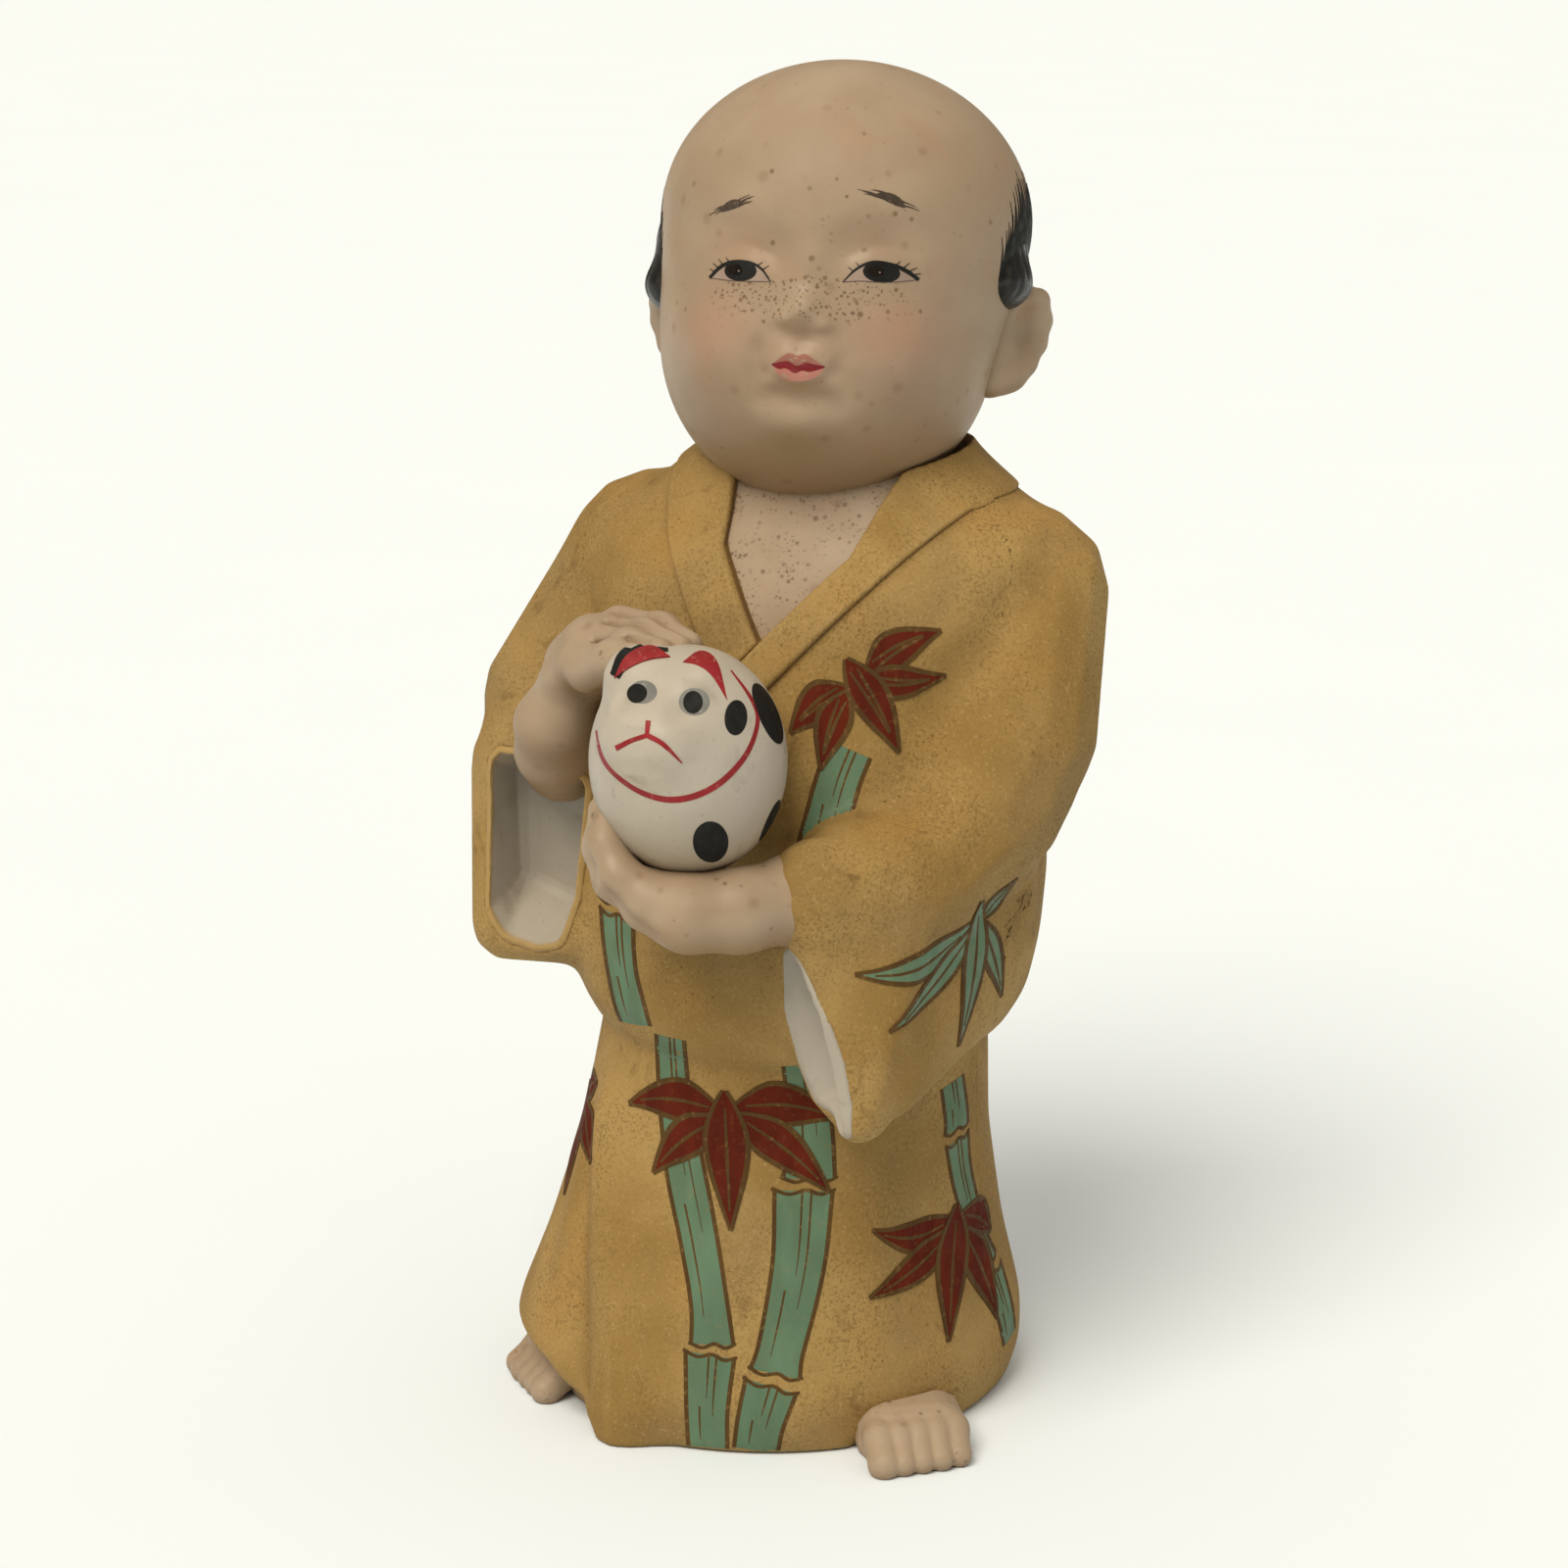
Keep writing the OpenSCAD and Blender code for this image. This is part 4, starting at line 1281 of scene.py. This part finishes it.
p = (mesh_points(PIECES["head_face"]) - np.array(HEAD_C)) @ np.array(HEAD_TO_ROW)
blush = 0.9 * spread(p, (-15.5, -10.5), (6.5, 5.5)) + 0.75 * spread(p, (13, -9.5), (7, 6))
blush += 0.35 * spread(
    p, (-1, -14), (7, 5)
) + 0.25 * spread(p, (11, 6), (7, 4)) + 0.2 * spread(p, (-12, 5), (6, 4))
add_layer(PIECES["head_face"], "blush", blush)
freckles = 1.1 * spread(p, (-6, -5.2), (9.5, 3)) + 0.8 * spread(p, (7, -4.5), (9.5, 2.8))
freckles += 0.2 * spread(p, (0, 8), (24, 14)) + 0.13 * spread(p, (12, 8), (9, 8))
add_layer(PIECES["head_face"], "freckle", np.maximum(freckles, 0.06))
shadow = 0.35 * spread(p, (-8, 4), (5, 2.6)) + 0.35 * spread(p, (7, 5), (5, 3)) + 0.4 * spread(
    p, (-0.8, -12), (2, 1.4)
)
add_layer(PIECES["head_face"], "shade", shadow)
SKIN_FRECKLES = {
    "chest_skin": 0.42, "hand_right_clay": 0.1, "hand_left_clay": 0.14, "foot_left_clay": 0.2,
    "foot_right_clay": 0.2
}
for name, amount in SKIN_FRECKLES.items():
    add_layer(PIECES[name], "freckle", np.full(len(PIECES[name].data.vertices), amount))

# ---------------------------------------------------------------- materials


class Look:
    """A material made of noise, vertex layers and the Principled shader."""

    def __init__(self, name, specular=0.5):
        self.material = bpy.data.materials.new(name)
        self.material.use_nodes = True
        self.tree = self.material.node_tree
        self.shader = self.tree.nodes["Principled BSDF"]
        self.shader.inputs["Specular IOR Level"].default_value = specular
        self.place = self.node("ShaderNodeTexCoord").outputs["Object"]

    def node(self, kind, settings=None, inputs=None):
        node = self.tree.nodes.new(kind)
        for key, value in (settings or {}).items():
            setattr(node, key, value)
        for key, value in (inputs or {}).items():
            self.plug(node.inputs[key], value)
        return node

    def plug(self, socket, value):
        if isinstance(value, bpy.types.NodeSocket):
            self.tree.links.new(value, socket)
        elif isinstance(value, tuple) and socket.type == "RGBA":
            socket.default_value = (*value, 1)
        else:
            socket.default_value = value

    def stretched(self, stretch):
        if stretch is None:
            return self.place
        return self.node(
            "ShaderNodeVectorMath", {"operation": "MULTIPLY"}, {0: self.place, 1: stretch}
        ).outputs[0]

    def noise(self, size, detail=2.0, stretch=None, twist=0.0):
        """Noise with blotches about size millimetres wide."""
        inputs = {
            "Vector": self.stretched(stretch), "Scale": 0.5 / (size * MM), "Detail": detail,
            "Distortion": twist
        }
        return self.node("ShaderNodeTexNoise", None, inputs).outputs["Fac"]

    def step(self, value, low, high, start=0.0, end=1.0):
        settings = {"interpolation_type": "SMOOTHSTEP"}
        inputs = {0: value, 1: low, 2: high, 3: start, 4: end}
        return self.node("ShaderNodeMapRange", settings, inputs).outputs[0]

    def calc(self, operation, a, b=0.0):
        return self.node(
            "ShaderNodeMath", {"operation": operation, "use_clamp": True}, {0: a, 1: b}
        ).outputs[0]

    def times(self, a, b):
        return self.calc("MULTIPLY", a, b)

    def spots(self, gap, radius, share, soft=0.35):
        """Round spots about gap millimetres apart; share is how many of them show."""
        cells = self.node("ShaderNodeTexVoronoi", None, {"Vector": self.place, "Scale": 1 / (gap * MM)})
        chance = self.node("ShaderNodeSeparateColor", None, {0: cells.outputs["Color"]})
        r = radius / gap
        size = self.step(chance.outputs[1], 0.0, 1.0, 0.35, 1.15)
        far = self.calc("DIVIDE", cells.outputs["Distance"], size)
        dot = self.step(far, r * (1 - soft), r * (1 + soft), 1.0, 0.0)
        return self.times(dot, self.calc("LESS_THAN", chance.outputs[0], share))

    def below(self, colour, underside_shade):
        """Painted shade: darkens and warms whatever faces the floor."""
        up = self.node(
            "ShaderNodeSeparateXYZ", None, {0: self.node("ShaderNodeNewGeometry").outputs["Normal"]}
        )
        return self.mix(self.step(up.outputs[2], 0.15, -0.85), colour, underside_shade, "MULTIPLY")

    def mix(self, amount, a, b, blend="MIX"):
        settings = {"data_type": "RGBA", "blend_type": blend}
        return self.node("ShaderNodeMix", settings, {0: amount, 6: a, 7: b}).outputs[2]

    def layer(self, name):
        return self.node("ShaderNodeAttribute", {"attribute_name": name}).outputs["Fac"]

    def finish(self, colour, rough, bumps=()):
        self.plug(self.shader.inputs["Base Color"], colour)
        self.plug(self.shader.inputs["Roughness"], rough)
        normal = None
        for height, distance in bumps:
            bump = self.node("ShaderNodeBump", None, {"Height": height, "Distance": distance * MM})
            if normal is not None:
                self.plug(bump.inputs["Normal"], normal)
            normal = bump.outputs[0]
        if normal is not None:
            self.plug(self.shader.inputs["Normal"], normal)
        return self.material


ROBE_DARK, ROBE_LIGHT = (0.262, 0.158, 0.044), (0.365, 0.236, 0.082)
ROBE_WARM, ROBE_DULL = (0.35, 0.2, 0.055), (0.22, 0.15, 0.065)


def robe_look():
    """Ochre distemper dabbed on with a sponge, with painted highlights on the ridges and painted shade in
    the hollows.
    """
    k = Look("robe_ochre", 0.22)
    broad = k.step(k.noise(14, 3, twist=0.4), 0.34, 0.66)
    colour = k.mix(broad, ROBE_DARK, ROBE_LIGHT)
    warm = k.step(k.noise(9, 2), 0.52, 0.7, 0, 0.5)
    colour = k.mix(warm, colour, ROBE_WARM)
    dull = k.step(k.noise(20, 3, twist=0.8), 0.5, 0.68, 0, 0.5)
    colour = k.mix(dull, colour, ROBE_DULL)
    patch = k.step(k.noise(7, 3), 0.4, 0.64, 0.3, 1)
    grain = k.noise(0.26, 3)
    dabs = k.times(k.step(grain, 0.47, 0.66), patch)
    colour = k.mix(k.times(dabs, 0.55), colour, (0.15, 0.092, 0.03))
    specks = k.times(k.step(k.noise(0.34, 4), 0.6, 0.7), k.step(k.noise(9, 2), 0.5, 0.62, 0.1, 1))
    colour = k.mix(k.times(specks, 0.55), colour, (0.085, 0.046, 0.014))
    stains = k.times(k.step(k.noise(2.6, 4, twist=0.6), 0.56, 0.74), k.step(k.noise(16, 2), 0.45, 0.65))
    colour = k.mix(k.times(stains, 0.62), colour, (0.14, 0.078, 0.022))
    pale = k.times(k.step(k.noise(0.3, 2), 0.58, 0.72), 0.35)
    colour = k.mix(pale, colour, (0.46, 0.32, 0.14))
    hollow = k.layer("hollow")
    # Painted shade: the ochre is darker in the hollows.
    colour = k.mix(k.step(hollow, 0.08, 0.75, 0, 0.8), colour, (0.38, 0.3, 0.22), "MULTIPLY")
    # Painted highlight: the ochre is lighter on the ridges.
    colour = k.mix(k.step(hollow, -0.15, -0.75, 0, 0.3), colour, (0.5, 0.35, 0.16))
    height = k.calc("SUBTRACT", k.noise(0.4, 3), k.times(dabs, 0.2))
    return k.finish(colour, k.step(grain, 0.3, 0.7, 0.68, 0.9), [(k.noise(4.5, 2), 0.2), (height, 0.07)])


def skin_look():
    """Beige gesso with blush, freckles of dirt, and painted shade in the hollows and on the undersides."""
    k = Look("skin_beige", 0.4)
    colour = k.mix(
        k.step(k.noise(11, 3, twist=0.3), 0.36, 0.64), (0.325, 0.235, 0.155), (0.375, 0.282, 0.192)
    )
    colour = k.mix(k.step(k.noise(5, 3), 0.55, 0.7, 0, 0.4), colour, (0.36, 0.225, 0.135))
    colour = k.mix(k.times(k.layer("blush"), 0.52), colour, (0.39, 0.2, 0.135))
    colour = k.mix(k.layer("shade"), colour, (0.7, 0.62, 0.56), "MULTIPLY")
    hollow = k.layer("hollow")
    # Painted shade: the skin is darker in the hollows.
    colour = k.mix(k.step(hollow, 0.12, 0.8, 0, 0.75), colour, (0.52, 0.4, 0.3), "MULTIPLY")
    freckle = k.layer("freckle")
    tone = k.mix(k.noise(1.2, 1), (0.19, 0.11, 0.055), (0.085, 0.048, 0.024))
    near = k.calc("ADD", k.times(freckle, 0.6), k.times(k.noise(2, 2), 0.5))
    for gap, radius, share, low in (
        (0.7, 0.2, 1.0, 0.46), (0.95, 0.26, 1.0, 0.44), (1.5, 0.33, 1.0, 0.4), (2.6, 0.42, 0.9, 0.28)
    ):
        dots = k.times(k.spots(gap, radius, share, 0.45), k.step(near, low, low + 0.14, 0, 0.8))
        colour = k.mix(dots, colour, tone)
    stains = k.times(k.spots(4.6, 0.75, 0.7, 0.7), 0.4)
    colour = k.mix(stains, colour, (0.2, 0.115, 0.055))
    dust = k.times(k.step(k.noise(0.5, 4), 0.66, 0.74), 0.5)
    colour = k.mix(dust, colour, (0.24, 0.15, 0.085))
    # Painted shade on the undersides.
    colour = k.below(colour, (0.78, 0.68, 0.52))
    rough = k.step(k.noise(7, 3), 0.3, 0.7, 0.42, 0.6)
    return k.finish(colour, rough, [(k.noise(3.2, 2), 0.12), (k.noise(0.5, 2), 0.025)])


def white_look(name, clean, dirt, crevice_shade, rough):
    """Chalky white gesso, grey where it is handled, with painted shade in the corners and on the
    undersides.
    """
    k = Look(name, 0.35)
    colour = k.mix(k.step(k.noise(9, 3), 0.35, 0.65), clean, tuple(0.93 * c for c in clean))
    colour = k.mix(k.step(k.noise(4, 4, twist=0.5), 0.57, 0.72, 0, 0.6), colour, dirt)
    # Painted shade: darker and browner in the hollows.
    colour = k.mix(k.step(k.layer("hollow"), 0.08, 0.7, 0, 0.85), colour, crevice_shade)
    colour = k.mix(k.layer("rim"), colour, ROBE_LIGHT)
    specks = k.times(k.spots(2.2, 0.16, 0.35), 0.7)
    colour = k.mix(specks, colour, (0.1, 0.075, 0.05))
    colour = k.mix(k.times(k.step(k.noise(0.45, 4), 0.64, 0.72), 0.35), colour, dirt)
    # Painted shade on the undersides.
    colour = k.below(colour, (0.84, 0.76, 0.64))
    return k.finish(
        colour, k.step(k.noise(3, 2), 0.3, 0.7, rough - 0.08, rough + 0.12),
        [(k.noise(2.6, 3), 0.2), (k.noise(0.55, 2), 0.04)]
    )


def clay_look():
    """The unpainted clay under the foot."""
    k = Look("bare_clay", 0.2)
    colour = k.mix(k.step(k.noise(6, 4), 0.35, 0.65), (0.3, 0.2, 0.12), (0.4, 0.28, 0.17))
    colour = k.mix(k.step(k.noise(0.7, 3), 0.56, 0.68, 0, 0.6), colour, (0.18, 0.11, 0.06))
    return k.finish(
        colour, k.step(k.noise(1, 2), 0.3, 0.7, 0.8, 0.95), [(k.noise(2.2, 4), 0.3), (k.noise(0.5, 3), 0.1)]
    )


def paint_look(name, main, other, worn, wear=0.5, rough=0.6, specular=0.3, stretch=(1, 1, 0.25)):
    """Brushed paint: two tones in streaks, grain, and specks where the ground shows through."""
    k = Look(name, specular)
    colour = k.mix(k.step(k.noise(1.6, 3, stretch), 0.34, 0.66), main, other)
    colour = k.mix(k.step(k.noise(7, 2), 0.4, 0.66, 0, 0.5), colour, tuple(0.72 * c for c in main))
    colour = k.mix(k.times(k.step(k.noise(0.5, 3), 0.58, 0.68), wear), colour, worn)
    return k.finish(
        colour, k.step(k.noise(1.2, 3), 0.3, 0.7, rough - 0.1, rough + 0.15),
        [(k.noise(0.8, 3, stretch), 0.06)]
    )


def hair_look():
    """Glossy black paint over combed relief, dulled by dust."""
    k = Look("hair_black", 0.22)
    strands = k.noise(0.5, 3, (1, 1, 0.12))
    colour = k.mix(k.step(strands, 0.4, 0.7), (0.007, 0.0065, 0.006), (0.016, 0.014, 0.012))
    colour = k.mix(k.step(k.noise(1.8, 4), 0.6, 0.75, 0, 0.5), colour, (0.06, 0.05, 0.04))
    return k.finish(
        colour, k.step(k.noise(1.5, 3), 0.35, 0.65, 0.26, 0.45), [(strands, 0.12), (k.noise(2, 3), 0.15)]
    )


OCHRE = (0.3, 0.185, 0.06)
LOOKS = {
    "robe_ochre": robe_look(),
    # The lining's white is darker than the toy's: painted shade inside the sleeves.
    "lining_white": white_look(
        "lining_white", (0.4, 0.36, 0.3), (0.3, 0.25, 0.19), (0.16, 0.11, 0.065), 0.6
    ),
    "skin_beige": skin_look(), "hair_black": hair_look(),
    "toy_white": white_look("toy_white", (0.46, 0.415, 0.35), (0.29, 0.25, 0.2), (0.22, 0.17, 0.12), 0.5),
    "bare_clay": clay_look(),
    "green": paint_look("paint_green", (0.112, 0.196, 0.118), (0.098, 0.162, 0.09), OCHRE, 0.12),
    "red": paint_look("paint_red", (0.115, 0.0165, 0.007), (0.08, 0.012, 0.006), OCHRE, 0.07, 0.75, 0.08),
    "gold": paint_look(
        "paint_gold", (0.1, 0.054, 0.016), (0.07, 0.036, 0.011), (0.25, 0.15, 0.055), 0.35, 0.65, 0.12
    ),
    "black": paint_look(
        "paint_black", (0.012, 0.012, 0.011), (0.018, 0.018, 0.017), (0.035, 0.032, 0.029), 0.3, 0.6, 0.1
    ),
    "brow": paint_look(
        "paint_brow", (0.075, 0.05, 0.034), (0.045, 0.03, 0.02), (0.2, 0.14, 0.095), 0.4, 0.6, 0.3
    ),
    "iris": paint_look(
        "paint_iris", (0.014, 0.01, 0.0075), (0.01, 0.0075, 0.006), (0.024, 0.017, 0.012), 0.3, 0.5, 0.05
    ),
    "grey": paint_look("paint_grey", (0.17, 0.17, 0.16), (0.23, 0.225, 0.21), (0.35, 0.33, 0.29), 0.4),
    "eye_white": paint_look(
        "eye_white", (0.3, 0.215, 0.165), (0.34, 0.25, 0.2), (0.27, 0.16, 0.12), 0.3, 0.45
    ),
    "bright": paint_look(
        "paint_bright", (0.29, 0.013, 0.018), (0.22, 0.01, 0.013), (0.4, 0.17, 0.13), 0.25, 0.5
    ),
    "lip_upper": paint_look(
        "lip_upper", (0.3, 0.12, 0.088), (0.33, 0.14, 0.1), (0.37, 0.2, 0.14), 0.35, 0.5
    ),
    "lip_lower": paint_look(
        "lip_lower", (0.4, 0.155, 0.12), (0.42, 0.18, 0.135), (0.45, 0.26, 0.19), 0.35, 0.45
    ),
    "lip_line": paint_look(
        "lip_line", (0.2, 0.009, 0.014), (0.15, 0.008, 0.011), (0.32, 0.05, 0.04), 0.3, 0.4
    )
}
for obj, look in MADE.values():
    obj.data.materials.append(LOOKS[look])

# ---------------------------------------------------------------- stage and light

FLOOR_HALF = 9.0
corners = [
    (-FLOOR_HALF, -FLOOR_HALF, 0), (FLOOR_HALF, -FLOOR_HALF, 0), (FLOOR_HALF, FLOOR_HALF, 0),
    (-FLOOR_HALF, FLOOR_HALF, 0)
]
floor_mesh = bpy.data.meshes.new("floor")
floor_mesh.from_pydata(corners, [], [(0, 1, 2, 3)])
floor = bpy.data.objects.new("floor", floor_mesh)
bpy.context.collection.objects.link(floor)
k = Look("floor", 0.2)
floor_mesh.materials.append(k.finish(k.mix(k.noise(60, 2), (0.83, 0.91, 1.0), (0.81, 0.89, 0.98)), 0.9))

world = bpy.data.worlds.new("world")
bpy.context.scene.world = world
world.use_nodes = True
# The room is brighter overhead than at the horizon.
sky = world.node_tree.nodes
glow = sky["Background"].inputs
height = sky.new("ShaderNodeSeparateXYZ")
fade = sky.new("ShaderNodeMapRange")
fade.inputs[3].default_value, fade.inputs[4].default_value = 0.2, 0.8
world.node_tree.links.new(sky.new("ShaderNodeTexCoord").outputs["Generated"], height.inputs[0])
world.node_tree.links.new(height.outputs[2], fade.inputs[0])
world.node_tree.links.new(fade.outputs[0], glow[1])
glow[0].default_value = (1, 0.92, 0.78, 1)
# Seen directly, the room is as pale as the floor, so that no horizon shows.
pale = sky.new("ShaderNodeBackground")
pale.inputs[0].default_value = (1, 1, 0.9, 1)
seen = sky.new("ShaderNodeMixShader")
link = world.node_tree.links.new
link(sky.new("ShaderNodeLightPath").outputs["Is Camera Ray"], seen.inputs[0])
link(sky["Background"].outputs[0], seen.inputs[1])
link(pale.outputs[0], seen.inputs[2])
link(seen.outputs[0], sky["World Output"].inputs["Surface"])
bpy.context.scene.view_settings.view_transform = "Standard"


def sun(name, towards, power, softness, colour):
    data = bpy.data.lights.new(name, "SUN")
    data.energy = power
    data.angle = math.radians(softness)
    data.color = colour
    obj = bpy.data.objects.new(name, data)
    bpy.context.collection.objects.link(obj)
    obj.rotation_euler = Vector(towards).to_track_quat("Z", "Y").to_euler()


sun("key", (-0.02, -0.6, 0.8), 2.4, 34, (1, 0.91, 0.76))
